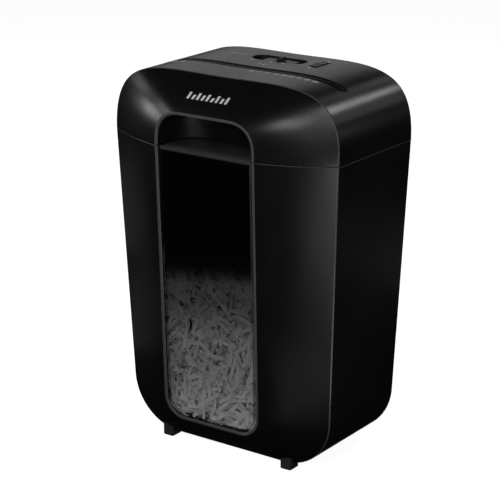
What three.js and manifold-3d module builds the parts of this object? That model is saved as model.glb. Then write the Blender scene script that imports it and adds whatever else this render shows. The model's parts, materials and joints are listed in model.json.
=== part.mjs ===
// A lift-off-head paper shredder. Millimetres, +Z up, front towards -Y.
// The origin is on the floor, under the middle of its box.
import * as THREE from 'three';
import { mergeVertices } from 'three/addons/utils/BufferGeometryUtils.js';
import Module from 'manifold-3d';

const wasm = await Module();
wasm.setup();

// ---------------------------------------------------------------- driving dimensions

// body
const FOOT_HEIGHT = 4.6;
const SEAM_Z = 381;
const CROWN_HEIGHT = 82.2;
const HALF_WIDTH_SEAM = 157.5;
const HALF_WIDTH_BASE = 141.5;
const BASE_CORNER_RADIUS = 65;
const CROWN_SHOULDER = 93.7; // how far the side runs on upwards before it turns over
const CROWN_FLAT = 95.8; // half of the flat part of the top
const FRONT_EDGE = { base: -58.1, seam: -69.6, top: -66.6, bow: -4.2 };
const REAR_EDGE = { base: 79.5, seam: 87.6, top: 85.8 };
const REAR_BULGE = 20;
const REAR_PANEL_INSET = 45;
const WALL = 2.6;
const SEAM_GAP = 0.6;

// window rim: the raised frame that the front facets run up to
const RIM = { halfSeam: 69.3, halfBase: 67.6, top: 423.4, bottom: 42.6, planeSeam: -107.6, planeBase: -94.6 };
const RIM_ARCH_RADIUS = 36;
const RIM_ARCH_POWER = 2.4;
const RIM_BASE_RADIUS = 27;
const RIM_LIP = 3;
const RIM_THICKNESS = 3.4;

// hand recess in the head, floored by the window's ledge
const RECESS_REAR = -48;
const RECESS_CORNER = 40;
const RECESS_WALL = 2;
const LEDGE_THICKNESS = 2.4;

// paper slot
const SLOT_Y = -15;
const THROAT_GAP = 6.4;
const THROAT_HALF = 114.5;
const SLOT = { half: 128, front: -19.4, rear: -6, depth: 7, wall: 2 };

// cutting block
const ROLL_SPACING = 25;
const ROLL_Z = 409;
const DISC_RADIUS = 14.5;
const CORE_RADIUS = 9.5;
const DISC_WIDTH = 4.3;
const DISC_PITCH = 9.4;
const DISC_COUNT = 24;
const SHAFT_RADIUS = 6;
const FRONT_ROLL = { y: SLOT_Y - ROLL_SPACING / 2, z: ROLL_Z };
const REAR_ROLL = { y: SLOT_Y + ROLL_SPACING / 2, z: ROLL_Z };
const PLATE_INNER = 115.3;
const PLATE_THICKNESS = 2;
const PLATE_OUTER = PLATE_INNER + PLATE_THICKNESS;

// gear train, left of the left side plate; each pair's teeth and module
const SYNC_TEETH = 16;
const SYNC_MODULE = ROLL_SPACING / SYNC_TEETH;
const THIRD_PAIR = { wheel: 30, pinion: 12, module: 1.5 };
const SECOND_PAIR = { wheel: 36, pinion: 12, module: 1.25 };
const FIRST_PAIR = { wheel: 32, pinion: 12, module: 1 };
const SECOND_AXLE_ANGLE = THREE.MathUtils.degToRad(8);
const AXLE_RADIUS = 3;
const PLANE_FIRST = [-123, -119];
const PLANE_SECOND = [-129, -124];
const PLANE_THIRD = [-137, -130];
const MOTOR = { y: 60, z: 412, radius: 25, left: -114.8, right: -34 };

// controls on top
const MODE_POCKET = { half: 34.5, x: 0, y: 44.5, radius: 11.5 };
const LOCK_SLOT = { x: 55.5, half: 6.5, front: 30.5, rear: 60 };

const CLEARANCE = 0.3;

// ---------------------------------------------------------------- making and joining solids

/** Turns any closed geometry into a solid, with its faces pointing out. */
function solid(geometry) {
  const bare = geometry.index ? geometry.toNonIndexed() : geometry.clone();
  bare.deleteAttribute('normal');
  bare.deleteAttribute('uv');
  const merged = mergeVertices(bare, 1e-4);
  const at = merged.attributes.position;
  const index = Array.from(merged.index.array);
  const triangles = [];
  let volume = 0;
  const a = new THREE.Vector3();
  const b = new THREE.Vector3();
  const c = new THREE.Vector3();
  for (let i = 0; i < index.length; i += 3) {
    const [p, q, r] = index.slice(i, i + 3);
    if (p === q || q === r || r === p) continue;
    a.fromBufferAttribute(at, p);
    b.fromBufferAttribute(at, q);
    c.fromBufferAttribute(at, r);
    volume += a.dot(b.cross(c));
    triangles.push(p, q, r);
  }
  if (volume < 0) {
    for (let i = 0; i < triangles.length; i += 3) {
      [triangles[i], triangles[i + 1]] = [triangles[i + 1], triangles[i]];
    }
  }
  const mesh = new wasm.Mesh({
    numProp: 3,
    vertProperties: new Float32Array(at.array),
    triVerts: new Uint32Array(triangles),
  });
  return new wasm.Manifold(mesh);
}

/** A closed skin through rings of points that match one to one, with both ends capped. */
function loft(rings) {
  const count = rings[0].length;
  const points = rings.flat();
  const faces = [];
  for (let r = 0; r + 1 < rings.length; r++) {
    for (let i = 0; i < count; i++) {
      const a = r * count + i;
      const b = r * count + (i + 1) % count;
      faces.push(a, b, b + count, a, b + count, a + count);
    }
  }
  const cap = (start, flip) => {
    const middle = new THREE.Vector3();
    for (let i = 0; i < count; i++) middle.addScaledVector(points[start + i], 1 / count);
    points.push(middle);
    for (let i = 0; i < count; i++) {
      const edge = [start + i, start + (i + 1) % count];
      faces.push(points.length - 1, ...(flip ? edge.reverse() : edge));
    }
  };
  cap(0, true);
  cap((rings.length - 1) * count, false);
  const geometry = new THREE.BufferGeometry().setFromPoints(points);
  geometry.setIndex(faces);
  return solid(geometry);
}

/** The matrix that lays a drawn (u, v) outline square to an axis, with its depth along that axis. */
const DRAWN_ON = {
  x: new THREE.Matrix4().set(0, 0, 1, 0, 1, 0, 0, 0, 0, 1, 0, 0, 0, 0, 0, 1), // (u, v) = (y, z)
  y: new THREE.Matrix4().set(1, 0, 0, 0, 0, 0, 1, 0, 0, 1, 0, 0, 0, 0, 0, 1), // (u, v) = (x, z)
  z: new THREE.Matrix4(), // (u, v) = (x, y)
};

/** An outline, with any holes, pushed along an axis from one place to another. */
function prism(axis, outline, from, to, holes = []) {
  const shape = outline.isShape ? outline : new THREE.Shape(outline);
  for (const hole of holes) shape.holes.push(new THREE.Path(hole));
  const geometry = new THREE.ExtrudeGeometry(shape, { depth: to - from, bevelEnabled: false, steps: 1 });
  geometry.translate(0, 0, from);
  geometry.applyMatrix4(DRAWN_ON[axis]);
  return solid(geometry);
}

function box(x0, x1, y0, y1, z0, z1) {
  const geometry = new THREE.BoxGeometry(x1 - x0, y1 - y0, z1 - z0);
  geometry.translate((x0 + x1) / 2, (y0 + y1) / 2, (z0 + z1) / 2);
  return solid(geometry);
}

/** Points of a circle, for outlines and holes. */
function circle(u, v, radius, sides = 20, start = 0) {
  return Array.from({ length: sides }, (_, i) => {
    const angle = start + i * 2 * Math.PI / sides;
    return new THREE.Vector2(u + radius * Math.cos(angle), v + radius * Math.sin(angle));
  });
}

/** A rectangle with round corners, as points. */
function roundRect(u0, u1, v0, v1, radius, steps = 4) {
  const points = [];
  const corners = [[u1 - radius, v0 + radius, -90], [u1 - radius, v1 - radius, 0],
    [u0 + radius, v1 - radius, 90], [u0 + radius, v0 + radius, 180]];
  for (const [u, v, start] of corners) {
    for (let i = 0; i <= steps; i++) {
      const angle = THREE.MathUtils.degToRad(start + 90 * i / steps);
      points.push(new THREE.Vector2(u + radius * Math.cos(angle), v + radius * Math.sin(angle)));
    }
  }
  return points;
}

/** A round bar or stepped shaft along X, from [x, radius] steps that start and end on the axis. */
function turned(profile, y, z, sides = 20) {
  const geometry = new THREE.LatheGeometry(profile.map(([x, r]) => new THREE.Vector2(r, x)), sides);
  geometry.rotateZ(-Math.PI / 2);
  geometry.translate(0, y, z);
  return solid(geometry);
}

const bar = (x0, x1, radius, y, z, sides) =>
  turned([[x0, 0], [x0, radius], [x1, radius], [x1, 0]], y, z, sides);

const root = new THREE.Group();

/** Adds a finished solid to the model as a named piece. */
function piece(name, body, colour, roughness, metalness) {
  const { numProp, vertProperties, triVerts } = body.getMesh();
  const positions = new Float32Array(vertProperties.length / numProp * 3);
  for (let i = 0; i < positions.length / 3; i++) {
    for (let k = 0; k < 3; k++) positions[i * 3 + k] = vertProperties[i * numProp + k];
  }
  const geometry = new THREE.BufferGeometry();
  geometry.setAttribute('position', new THREE.BufferAttribute(positions, 3));
  geometry.setIndex(Array.from(triVerts));
  geometry.computeVertexNormals();
  const material = new THREE.MeshStandardMaterial({ color: colour, roughness, metalness });
  const mesh = new THREE.Mesh(geometry, material);
  mesh.name = name;
  root.add(mesh);
}

const blackPlastic = [0x17171a, 0.42, 0];
const darkPlastic = [0x222225, 0.6, 0];
const smoked = [0x2a2a2c, 0.15, 0];
const greyPlastic = [0x4a4a4d, 0.55, 0];
const steel = [0x9a9da0, 0.35, 1];
const hardSteel = [0x6f7275, 0.3, 1];
const nylon = [0xd8d4c4, 0.5, 0];
const rubber = [0x1a1a1a, 0.85, 0];

// ---------------------------------------------------------------- outlines of the body

const QUARTER_STEPS = 12;

/** Runs down a straight side, round a corner and along the base to the middle: the lower right quarter. */
function lowerQuarter(halfSeam, halfBase, bottom, radius, inset) {
  const taper = Math.atan((halfSeam - halfBase) / (SEAM_Z - FOOT_HEIGHT));
  const r = radius - inset;
  const slack = r * (1 - Math.sin(taper)) / Math.cos(taper);
  const lineAt = z => halfBase + Math.tan(taper) * (z - FOOT_HEIGHT) - inset / Math.cos(taper);
  const centreZ = bottom + radius;
  const centreX = lineAt(bottom + inset) - slack;
  return u => {
    const [side, corner] = [2 / QUARTER_STEPS, 10 / QUARTER_STEPS];
    if (u <= side) {
      const z = THREE.MathUtils.lerp(SEAM_Z, centreZ - r * Math.sin(taper), u / side);
      return [lineAt(z), z];
    }
    if (u <= corner) {
      const angle = THREE.MathUtils.lerp(-taper, -Math.PI / 2, (u - side) / (corner - side));
      return [centreX + r * Math.cos(angle), centreZ + r * Math.sin(angle)];
    }
    return [centreX * (1 - u) / (1 - corner), bottom + inset];
  };
}

/** The crown: the upper right quarter of the body, a cubic curve from the seam to the middle of the top. */
function crownQuarter(inset) {
  const taper = Math.atan((HALF_WIDTH_SEAM - HALF_WIDTH_BASE) / (SEAM_Z - FOOT_HEIGHT));
  const top = SEAM_Z + CROWN_HEIGHT;
  const shoulder = new THREE.Vector2(Math.sin(taper), Math.cos(taper)).multiplyScalar(CROWN_SHOULDER);
  const curve = new THREE.CubicBezierCurve(
    new THREE.Vector2(HALF_WIDTH_SEAM, SEAM_Z),
    new THREE.Vector2(HALF_WIDTH_SEAM + shoulder.x, SEAM_Z + shoulder.y),
    new THREE.Vector2(CROWN_FLAT, top),
    new THREE.Vector2(0, top),
  );
  return u => {
    const at = curve.getPoint(u);
    const along = curve.getTangent(u);
    return [at.x - along.y * inset, at.y + along.x * inset];
  };
}

/** The arch: the upper right quarter of the window rim, straight and then round a soft square corner. */
function archQuarter(inset) {
  const half = RIM.halfSeam - inset;
  const top = RIM.top - inset;
  const radius = RIM_ARCH_RADIUS - inset;
  return u => {
    const [side, corner] = [1.5 / QUARTER_STEPS, 8.5 / QUARTER_STEPS];
    if (u <= side) return [half, THREE.MathUtils.lerp(SEAM_Z, top - radius, u / side)];
    if (u <= corner) {
      const angle = Math.PI / 2 * (u - side) / (corner - side);
      const power = 2 / RIM_ARCH_POWER;
      return [half + radius * (Math.cos(angle) ** power - 1), top + radius * (Math.sin(angle) ** power - 1)];
    }
    return [(half - radius) * (1 - u) / (1 - corner), top];
  };
}

/** A whole closed outline from an upper and a lower right quarter, mirrored to the left. */
function wholeOutline(upper, lower) {
  const points = [];
  for (let k = 0; k < QUARTER_STEPS; k++) points.push(upper(k / QUARTER_STEPS));
  for (let k = QUARTER_STEPS; k > 0; k--) points.push(upper(k / QUARTER_STEPS).map((v, i) => i ? v : -v));
  for (let k = 0; k < QUARTER_STEPS; k++) points.push(lower(k / QUARTER_STEPS).map((v, i) => i ? v : -v));
  for (let k = QUARTER_STEPS; k > 0; k--) points.push(lower(k / QUARTER_STEPS));
  return points;
}

const bodyOutline = inset => wholeOutline(crownQuarter(inset),
  lowerQuarter(HALF_WIDTH_SEAM, HALF_WIDTH_BASE, FOOT_HEIGHT, BASE_CORNER_RADIUS, inset));

const rimOutline = inset => wholeOutline(archQuarter(inset),
  lowerQuarter(RIM.halfSeam, RIM.halfBase, RIM.bottom, RIM_BASE_RADIUS, inset));

/** How far up the bin (below the seam) or the crown (above it) a height is, from 0 to 1. */
const upBin = z => (z - FOOT_HEIGHT) / (SEAM_Z - FOOT_HEIGHT);
const upCrown = z => (z - SEAM_Z) / CROWN_HEIGHT;

function frontEdgeY(x, z) {
  if (z <= SEAM_Z) return THREE.MathUtils.lerp(FRONT_EDGE.base, FRONT_EDGE.seam, upBin(z));
  const bow = FRONT_EDGE.bow * (1 - (x / HALF_WIDTH_SEAM) ** 2);
  return FRONT_EDGE.seam + (FRONT_EDGE.top - FRONT_EDGE.seam + bow) * upCrown(z);
}

function rearEdgeY(z) {
  if (z <= SEAM_Z) return THREE.MathUtils.lerp(REAR_EDGE.base, REAR_EDGE.seam, upBin(z));
  return THREE.MathUtils.lerp(REAR_EDGE.seam, REAR_EDGE.top, upCrown(z));
}

const rimPlaneY = z => THREE.MathUtils.lerp(RIM.planeBase, RIM.planeSeam, Math.min(upBin(z), 1));

/** The body's whole skin, drawn in by a wall's thickness. */
function bodySkin(inset, frontDepth, edgeDepth) {
  const outline = bodyOutline(inset);
  const ring = (points, y) => points.map(([x, z]) => new THREE.Vector3(x, y(x, z), z));
  return loft([
    ring(rimOutline(0), (x, z) => rimPlaneY(z) + frontDepth),
    ring(outline, (x, z) => frontEdgeY(x, z) + edgeDepth),
    ring(outline, (x, z) => rearEdgeY(z) - edgeDepth),
    ring(bodyOutline(REAR_PANEL_INSET + inset / 2), (x, z) => rearEdgeY(z) + REAR_BULGE - inset),
  ]);
}

const FAR = 400;
const THROUGH_TOP = [440, 480]; // a cut through the crown's top, from below its wall to above it
const above = z => box(-FAR, FAR, -FAR, FAR, z, FAR * 2);
const below = z => box(-FAR, FAR, -FAR, FAR, -FAR, z);

const outerSkin = bodySkin(0, 0, 0);
const innerSkin = bodySkin(WALL, RIM_THICKNESS, 1.2);
const headSpace = bodySkin(WALL + CLEARANCE + 0.2, RIM_THICKNESS + 1, 2);

/** Everything inside the rim's lip, from well in front of it back to a depth behind its plane. */
function rimOpening(inset, front, depth) {
  const ring = reach => rimOutline(inset).map(([x, z]) => new THREE.Vector3(x, rimPlaneY(z) + reach, z));
  return loft([ring(front), ring(depth)]);
}

/** The hand recess in plan: open to the front, with two large round corners at the back. */
function recessPlan(grow) {
  const half = RIM.halfSeam - RIM_LIP + grow;
  return roundRect(-half, half, -FAR / 2, RECESS_REAR + grow, RECESS_CORNER + grow, 6)
    .filter(p => p.y > -FAR / 4)
    .concat([new THREE.Vector2(-half, -FAR / 2), new THREE.Vector2(half, -FAR / 2)]);
}

/** The hand recess as a solid, grown by a wall's thickness to make its cup. */
function recessSpace(grow, bottom) {
  const arch = rimOutline(RIM_LIP - grow)
    .filter(([, z]) => z >= SEAM_Z - 1e-6)
    .map(([x, z]) => new THREE.Vector2(x, z));
  const half = RIM.halfSeam - RIM_LIP + grow;
  const profile = [...arch, new THREE.Vector2(-half, bottom), new THREE.Vector2(half, bottom)];
  return prism('y', profile, -FAR / 2, RECESS_REAR + grow + 1).intersect(
    prism('z', recessPlan(grow), bottom - 1, FAR * 2));
}

// ---------------------------------------------------------------- waste bin

const FOOT_REACH = { inner: 80, outer: 95, depth: 18 };
const FRONT_FOOT_Y = -68;
const REAR_FOOT_Y = 64;

// where the head's interlock plunger comes down: a rib on the right wall, just under its tip
const PLUNGER = { x: 134, y: 50, bottom: 372, top: 394, radius: 2.8 };
const RIB = { reach: 4, half: 3, height: 21.6, top: PLUNGER.bottom - 0.4 };
const plungerRib = box(PLUNGER.x - RIB.reach, FAR, PLUNGER.y - RIB.half, PLUNGER.y + RIB.half,
  RIB.top - RIB.height, RIB.top);

const binShell = outerSkin
  .intersect(below(SEAM_Z - SEAM_GAP))
  .subtract(innerSkin.subtract(plungerRib))
  .subtract(rimOpening(RIM_LIP, -20, 12));
piece('bin_shell', binShell, ...blackPlastic);

const PANE = { groove: 3.4, groovePlane: [4, 6], faceInset: 6.3, facePlane: [1.8, 4.1] };
const ledgePlan = [...recessPlan(-CLEARANCE).filter(p => p.y > -FAR / 4),
  new THREE.Vector2(-RIM.halfSeam + RIM_LIP + 8, -102), new THREE.Vector2(RIM.halfSeam - RIM_LIP - 8, -102)];
const ledgeTop = SEAM_Z - SEAM_GAP;
const window = rimOpening(PANE.groove, ...PANE.groovePlane)
  .add(rimOpening(PANE.faceInset, ...PANE.facePlane))
  .intersect(below(ledgeTop))
  .add(prism('z', ledgePlan, ledgeTop - LEDGE_THICKNESS, ledgeTop));
piece('bin_window', window, ...smoked);

const shellKeepOut = bodySkin(-CLEARANCE, -CLEARANCE, -CLEARANCE);
for (const [side, sign] of [['right', 1], ['left', -1]]) {
  for (const [end, y] of [['front', FRONT_FOOT_Y], ['rear', REAR_FOOT_Y]]) {
    const x = [sign * FOOT_REACH.inner, sign * FOOT_REACH.outer].sort((a, b) => a - b);
    const plan = roundRect(...x, y, y + FOOT_REACH.depth, 2, 2);
    const block = prism('z', plan, 0, 20).subtract(shellKeepOut);
    piece(`foot_${end}_${side}`, block, ...rubber);
  }
}

// ---------------------------------------------------------------- head cover and base

/** The paper slot's trough: a profile across it, carried along the crown's curve. */
function slotTrough(wall) {
  const stations = 20;
  const crown = crownQuarter(0);
  const topAt = x => {
    let [low, high] = [0.2, 1];
    for (let i = 0; i < 40; i++) {
      const middle = (low + high) / 2;
      if (crown(middle)[0] > Math.abs(x)) low = middle; else high = middle;
    }
    return crown(low)[1];
  };
  const half = SLOT.half + wall;
  const rings = [];
  for (let i = 0; i <= stations; i++) {
    const x = half * Math.sin(Math.PI / 2 * (2 * i / stations - 1));
    const fromEnd = Math.min(1, (half - Math.abs(x)) / 8);
    const pinch = Math.sqrt(Math.max(0, 1 - (1 - fromEnd) ** 2));
    const middle = (SLOT.front + SLOT.rear) / 2;
    const front = THREE.MathUtils.lerp(middle - 1, SLOT.front - wall, pinch);
    const rear = THREE.MathUtils.lerp(middle + 1, SLOT.rear + wall, pinch);
    const foot = THREE.MathUtils.lerp(middle, -11.6 + wall, pinch);
    const depth = (SLOT.depth + wall) * (0.35 + 0.65 * pinch);
    const z = topAt(Math.min(Math.abs(x), SLOT.half + 1));
    rings.push([[front, 6], [front, -depth], [foot, -depth], [rear, -1.2 - wall], [rear, 6]]
      .map(([y, dz]) => new THREE.Vector3(x, y, z + dz)));
  }
  return loft(rings);
}

const throatCut = box(-THROAT_HALF, THROAT_HALF, SLOT_Y - THROAT_GAP / 2, SLOT_Y + THROAT_GAP / 2,
  ...THROUGH_TOP);
const stadium = (x0, x1, y, radius) => roundRect(x0, x1, y - radius, y + radius, radius - 0.01, 5);
const modeOpening = stadium(MODE_POCKET.x - MODE_POCKET.half, MODE_POCKET.x + MODE_POCKET.half,
  MODE_POCKET.y, MODE_POCKET.radius);
const lockOpening = roundRect(LOCK_SLOT.x - LOCK_SLOT.half, LOCK_SLOT.x + LOCK_SLOT.half,
  LOCK_SLOT.front, LOCK_SLOT.rear, 2, 3);
const GLAND = { x: 96, z: 400, radius: 9, bore: 3.6, front: 88, rear: 103 };

const headCover = outerSkin
  .intersect(above(SEAM_Z))
  .subtract(innerSkin.subtract(recessSpace(RECESS_WALL, 0)).subtract(slotTrough(SLOT.wall)))
  .subtract(recessSpace(0, 0))
  .subtract(slotTrough(0))
  .subtract(throatCut)
  .subtract(prism('z', modeOpening, ...THROUGH_TOP))
  .subtract(prism('z', lockOpening, ...THROUGH_TOP))
  .subtract(prism('y', circle(GLAND.x, GLAND.z, GLAND.radius + CLEARANCE, 20), GLAND.front - 15, FAR));
piece('head_cover', headCover, ...blackPlastic);

const BASE_Z = [SEAM_Z + 0.4, SEAM_Z + 2.6];
const SKIRT = { half: 146, front: -42.5, rear: 78, wall: 2, bottom: 372, radius: 8 };
const THROUGH_BASE = [SKIRT.bottom - 2, BASE_Z[1] + 6];
const PLUNGER_BORE = 3.4;
const CHUTE = { half: 113, front: SLOT_Y - 7.4, rear: SLOT_Y + 7.4 };
const headBase = headSpace
  .intersect(box(-FAR, FAR, -FAR, FAR, ...BASE_Z))
  .subtract(recessSpace(RECESS_WALL + CLEARANCE, 0))
  .add(prism('z', roundRect(-SKIRT.half, SKIRT.half, SKIRT.front, SKIRT.rear, SKIRT.radius), SKIRT.bottom,
    BASE_Z[1], [roundRect(-SKIRT.half + SKIRT.wall, SKIRT.half - SKIRT.wall, SKIRT.front + SKIRT.wall,
      SKIRT.rear - SKIRT.wall, SKIRT.radius - SKIRT.wall).reverse()]))
  .subtract(box(-CHUTE.half, CHUTE.half, CHUTE.front, CHUTE.rear, ...THROUGH_BASE))
  .subtract(prism('z', circle(PLUNGER.x, PLUNGER.y, PLUNGER_BORE, 12), ...THROUGH_BASE));
piece('head_base', headBase, ...darkPlastic);

piece('cord_gland', prism('y', circle(GLAND.x, GLAND.z, GLAND.radius, 20), GLAND.front, GLAND.rear,
  [circle(GLAND.x, GLAND.z, GLAND.bore, 12).reverse()]), ...rubber);

// ---------------------------------------------------------------- cutting block

/** A side plate: an outline in (y, z) with its holes. */
const sidePlate = (from, to, outline, holes) => prism('x', outline, from, to, holes.map(h => h.reverse()));
const BUSH = { outer: 9.5, bore: 6.15 };
const PLATE = { front: -43.3, bottom: 384.2, top: 437 };
const RODS = {
  front_upper: { y: -37, z: 431 },
  front_lower: { y: -38.6, z: 389.5 },
  rear_upper: { y: 9, z: 431 },
  rear_lower: { y: 11, z: 389.5 },
};
const ROD_RADIUS = 3.5;
const boreHole = (at, radius) => circle(at.y, at.z, radius, 20);

const centreDistance = pair => (pair.wheel + pair.pinion) / 2 * pair.module;
const secondAxle = {
  y: REAR_ROLL.y + centreDistance(THIRD_PAIR) * Math.cos(SECOND_AXLE_ANGLE),
  z: REAR_ROLL.z + centreDistance(THIRD_PAIR) * Math.sin(SECOND_AXLE_ANGLE),
};

/** The first axle meshes with both the second axle and the motor: where two circles cross, above. */
const firstAxle = (() => {
  const reachSecond = centreDistance(SECOND_PAIR);
  const reachMotor = centreDistance(FIRST_PAIR);
  const dy = MOTOR.y - secondAxle.y;
  const dz = MOTOR.z - secondAxle.z;
  const gap = Math.hypot(dy, dz);
  const along = (reachSecond ** 2 - reachMotor ** 2 + gap ** 2) / (2 * gap);
  const up = Math.sqrt(reachSecond ** 2 - along ** 2);
  return {
    y: secondAxle.y + (along * dy - up * dz) / gap,
    z: secondAxle.z + (along * dz + up * dy) / gap,
  };
})();

const leftOutline = [[PLATE.front, PLATE.bottom], [82, PLATE.bottom], [82, 430], [66, 443], [40, 443],
  [34, PLATE.top], [PLATE.front, PLATE.top]].map(p => new THREE.Vector2(...p));
const rightOutline = [[PLATE.front, PLATE.bottom], [20, PLATE.bottom], [20, PLATE.top],
  [PLATE.front, PLATE.top]].map(p => new THREE.Vector2(...p));
const bushHoles = () => [FRONT_ROLL, REAR_ROLL].map(at => boreHole(at, BUSH.outer + CLEARANCE));
const rodHoles = () => Object.values(RODS).map(at => boreHole(at, 2 + CLEARANCE));
piece('side_plate_left', sidePlate(-PLATE_OUTER, -PLATE_INNER, leftOutline, [...bushHoles(), ...rodHoles(),
  circle(MOTOR.y, MOTOR.z, 5, 12), circle(firstAxle.y, firstAxle.z, AXLE_RADIUS + CLEARANCE, 16),
  circle(secondAxle.y, secondAxle.z, AXLE_RADIUS + CLEARANCE, 16)]), ...steel);
piece('side_plate_right', sidePlate(PLATE_INNER, PLATE_OUTER, rightOutline, [...bushHoles(), ...rodHoles()]),
  ...steel);

for (const [name, at] of Object.entries(RODS)) {
  const inner = PLATE_INNER - CLEARANCE;
  const outer = PLATE_OUTER + 0.7;
  piece(`tie_rod_${name}`, turned([[-outer, 0], [-outer, 2], [-inner, 2], [-inner, ROD_RADIUS],
    [inner, ROD_RADIUS], [inner, 2], [outer, 2], [outer, 0]], at.y, at.z, 10), ...steel);
}

for (const [end, at] of [['front', FRONT_ROLL], ['rear', REAR_ROLL]]) {
  const sides = [['left', -PLATE_OUTER, -PLATE_INNER], ['right', PLATE_INNER, PLATE_OUTER]];
  for (const [side, from, to] of sides) {
    piece(`bush_${end}_${side}`, prism('x', boreHole(at, BUSH.outer), from, to,
      [circle(at.y, at.z, BUSH.bore, 20).reverse()]), 0xa07c3a, 0.4, 1);
  }
}

/** A cutter roll: discs on a core, between two shaft ends. A shift of half a pitch interleaves two rolls. */
function cutterRoll(at, shift, left, right) {
  const start = -DISC_COUNT * DISC_PITCH / 2 + shift + (DISC_PITCH / 2 - DISC_WIDTH) / 2;
  const core = DISC_COUNT * DISC_PITCH / 2 + 1;
  const profile = [[left, 0], [left, SHAFT_RADIUS], [-core, SHAFT_RADIUS], [-core, CORE_RADIUS]];
  for (let i = 0; i < DISC_COUNT; i++) {
    const x = start + i * DISC_PITCH;
    const end = x + DISC_WIDTH;
    profile.push([x, CORE_RADIUS], [x, DISC_RADIUS], [end, DISC_RADIUS], [end, CORE_RADIUS]);
  }
  profile.push([core, CORE_RADIUS], [core, SHAFT_RADIUS], [right, SHAFT_RADIUS], [right, 0]);
  return turned(profile, at.y, at.z, 10);
}
piece('front_cutter_roll', cutterRoll(FRONT_ROLL, 0, -PLATE_OUTER - 1.5, 129), ...hardSteel);
piece('rear_cutter_roll', cutterRoll(REAR_ROLL, DISC_PITCH / 2, PLANE_THIRD[0] - 0.8, 129), ...hardSteel);

const COMB = { half: 114, depth: 4, bottom: 386.3, top: 390, finger: 1.5, tip: ROLL_Z - CORE_RADIUS - 0.8 };

/** A stripper comb: a bar under one roll with a finger up into each gap between its discs. */
function stripperComb(at, shift) {
  const points = [[-COMB.half, COMB.bottom], [COMB.half, COMB.bottom], [COMB.half, COMB.top]];
  for (let i = DISC_COUNT - 1; i > 0; i--) {
    const disc = -DISC_COUNT * DISC_PITCH / 2 + shift + (DISC_PITCH / 2 - DISC_WIDTH) / 2 + i * DISC_PITCH;
    const gap = disc - (DISC_PITCH - DISC_WIDTH) / 2;
    const [right, left] = [gap + COMB.finger, gap - COMB.finger];
    points.push([right, COMB.top], [right, COMB.tip], [left, COMB.tip], [left, COMB.top]);
  }
  points.push([-COMB.half, COMB.top]);
  return prism('y', points.map(p => new THREE.Vector2(...p)), at.y - COMB.depth, at.y + COMB.depth);
}
piece('stripper_comb_front', stripperComb(FRONT_ROLL, 0), ...nylon);
piece('stripper_comb_rear', stripperComb(REAR_ROLL, DISC_PITCH / 2), ...nylon);

/** A throat guide: a bent sheet from the slot down to the rolls, drawn in (y, z). */
const GUIDE = { bottom: 421.8, top: 448.1, sheet: 1.6, flange: 7 };
function throatGuide(direction) {
  const face = SLOT_Y + direction * (THROAT_GAP / 2);
  const back = face + direction * GUIDE.sheet;
  const points = [[face, GUIDE.bottom], [back, GUIDE.bottom], [back, GUIDE.top - GUIDE.sheet],
    [back + direction * GUIDE.flange, GUIDE.top - GUIDE.sheet], [back + direction * GUIDE.flange, GUIDE.top],
    [face, GUIDE.top]];
  return prism('x', points.map(p => new THREE.Vector2(...p)), -114, 114);
}
piece('throat_guide_front', throatGuide(-1), ...darkPlastic);

// the rear guide is notched from below for the paper flag, and its flange bridges the notch
const FLAG = { x: 0, y: -4.2, z: 440, half: 2 };
const FLAG_NOTCH = { half: FLAG.half + 1, front: -14, rear: 4, top: GUIDE.top - GUIDE.sheet - 1 };
piece('throat_guide_rear', throatGuide(1).subtract(box(-FLAG_NOTCH.half, FLAG_NOTCH.half,
  FLAG_NOTCH.front, FLAG_NOTCH.rear, GUIDE.bottom - 1, FLAG_NOTCH.top)), ...darkPlastic);

// ---------------------------------------------------------------- gears

/** A spur gear's outline in (y, z), with a tooth centred at angle phase. */
function gearOutline(teeth, module, y, z, phase) {
  const pitch = teeth * module / 2;
  const [tip, foot] = [pitch + 0.85 * module, pitch - 1.15 * module];
  const turn = 2 * Math.PI / teeth;
  const [tipHalf, footHalf] = [0.115 * turn, 0.33 * turn];
  const points = [];
  for (let i = 0; i < teeth; i++) {
    const middle = phase + i * turn;
    for (const [r, a] of [[foot, -footHalf], [tip, -tipHalf], [tip, tipHalf], [foot, footHalf]]) {
      points.push(new THREE.Vector2(y + r * Math.cos(middle + a), z + r * Math.sin(middle + a)));
    }
  }
  return points;
}

const bearing = (from, to) => Math.atan2(to.z - from.z, to.y - from.y);

/** The phase of a gear whose gap meets the tooth that its partner points at it. */
const facing = (own, partner, teeth) => bearing(own, partner) + Math.PI / teeth;

const spur = (teeth, module, at, phase, plane, bore) =>
  prism('x', gearOutline(teeth, module, at.y, at.z, phase), ...plane,
    [circle(at.y, at.z, bore, 16).reverse()]);

const SHAFT_BORE = SHAFT_RADIUS + 0.25;
const AXLE_BORE = AXLE_RADIUS + 0.2;
const SYNC_PLANE = [119, 127];
piece('rear_sync_gear', spur(SYNC_TEETH, SYNC_MODULE, REAR_ROLL, bearing(REAR_ROLL, FRONT_ROLL),
  SYNC_PLANE, SHAFT_BORE), ...steel);
piece('front_sync_gear', spur(SYNC_TEETH, SYNC_MODULE, FRONT_ROLL, facing(FRONT_ROLL, REAR_ROLL, SYNC_TEETH),
  SYNC_PLANE, SHAFT_BORE), ...steel);
piece('roll_drive_gear', spur(THIRD_PAIR.wheel, THIRD_PAIR.module, REAR_ROLL, bearing(REAR_ROLL, secondAxle),
  PLANE_THIRD, SHAFT_BORE), ...steel);

/** A wheel and the pinion beside it, moulded as one and turning on one axle. */
function reductionGear(at, wheel, pinion) {
  const hub = prism('x', circle(at.y, at.z, AXLE_RADIUS + 2.2, 16), wheel.plane[0] - 0.5, wheel.plane[1],
    [circle(at.y, at.z, AXLE_BORE, 16).reverse()]);
  return spur(wheel.teeth, wheel.module, at, wheel.phase, wheel.plane, AXLE_BORE)
    .add(spur(pinion.teeth, pinion.module, at, pinion.phase, [pinion.plane[0], wheel.plane[0]], AXLE_BORE))
    .add(hub);
}

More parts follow.
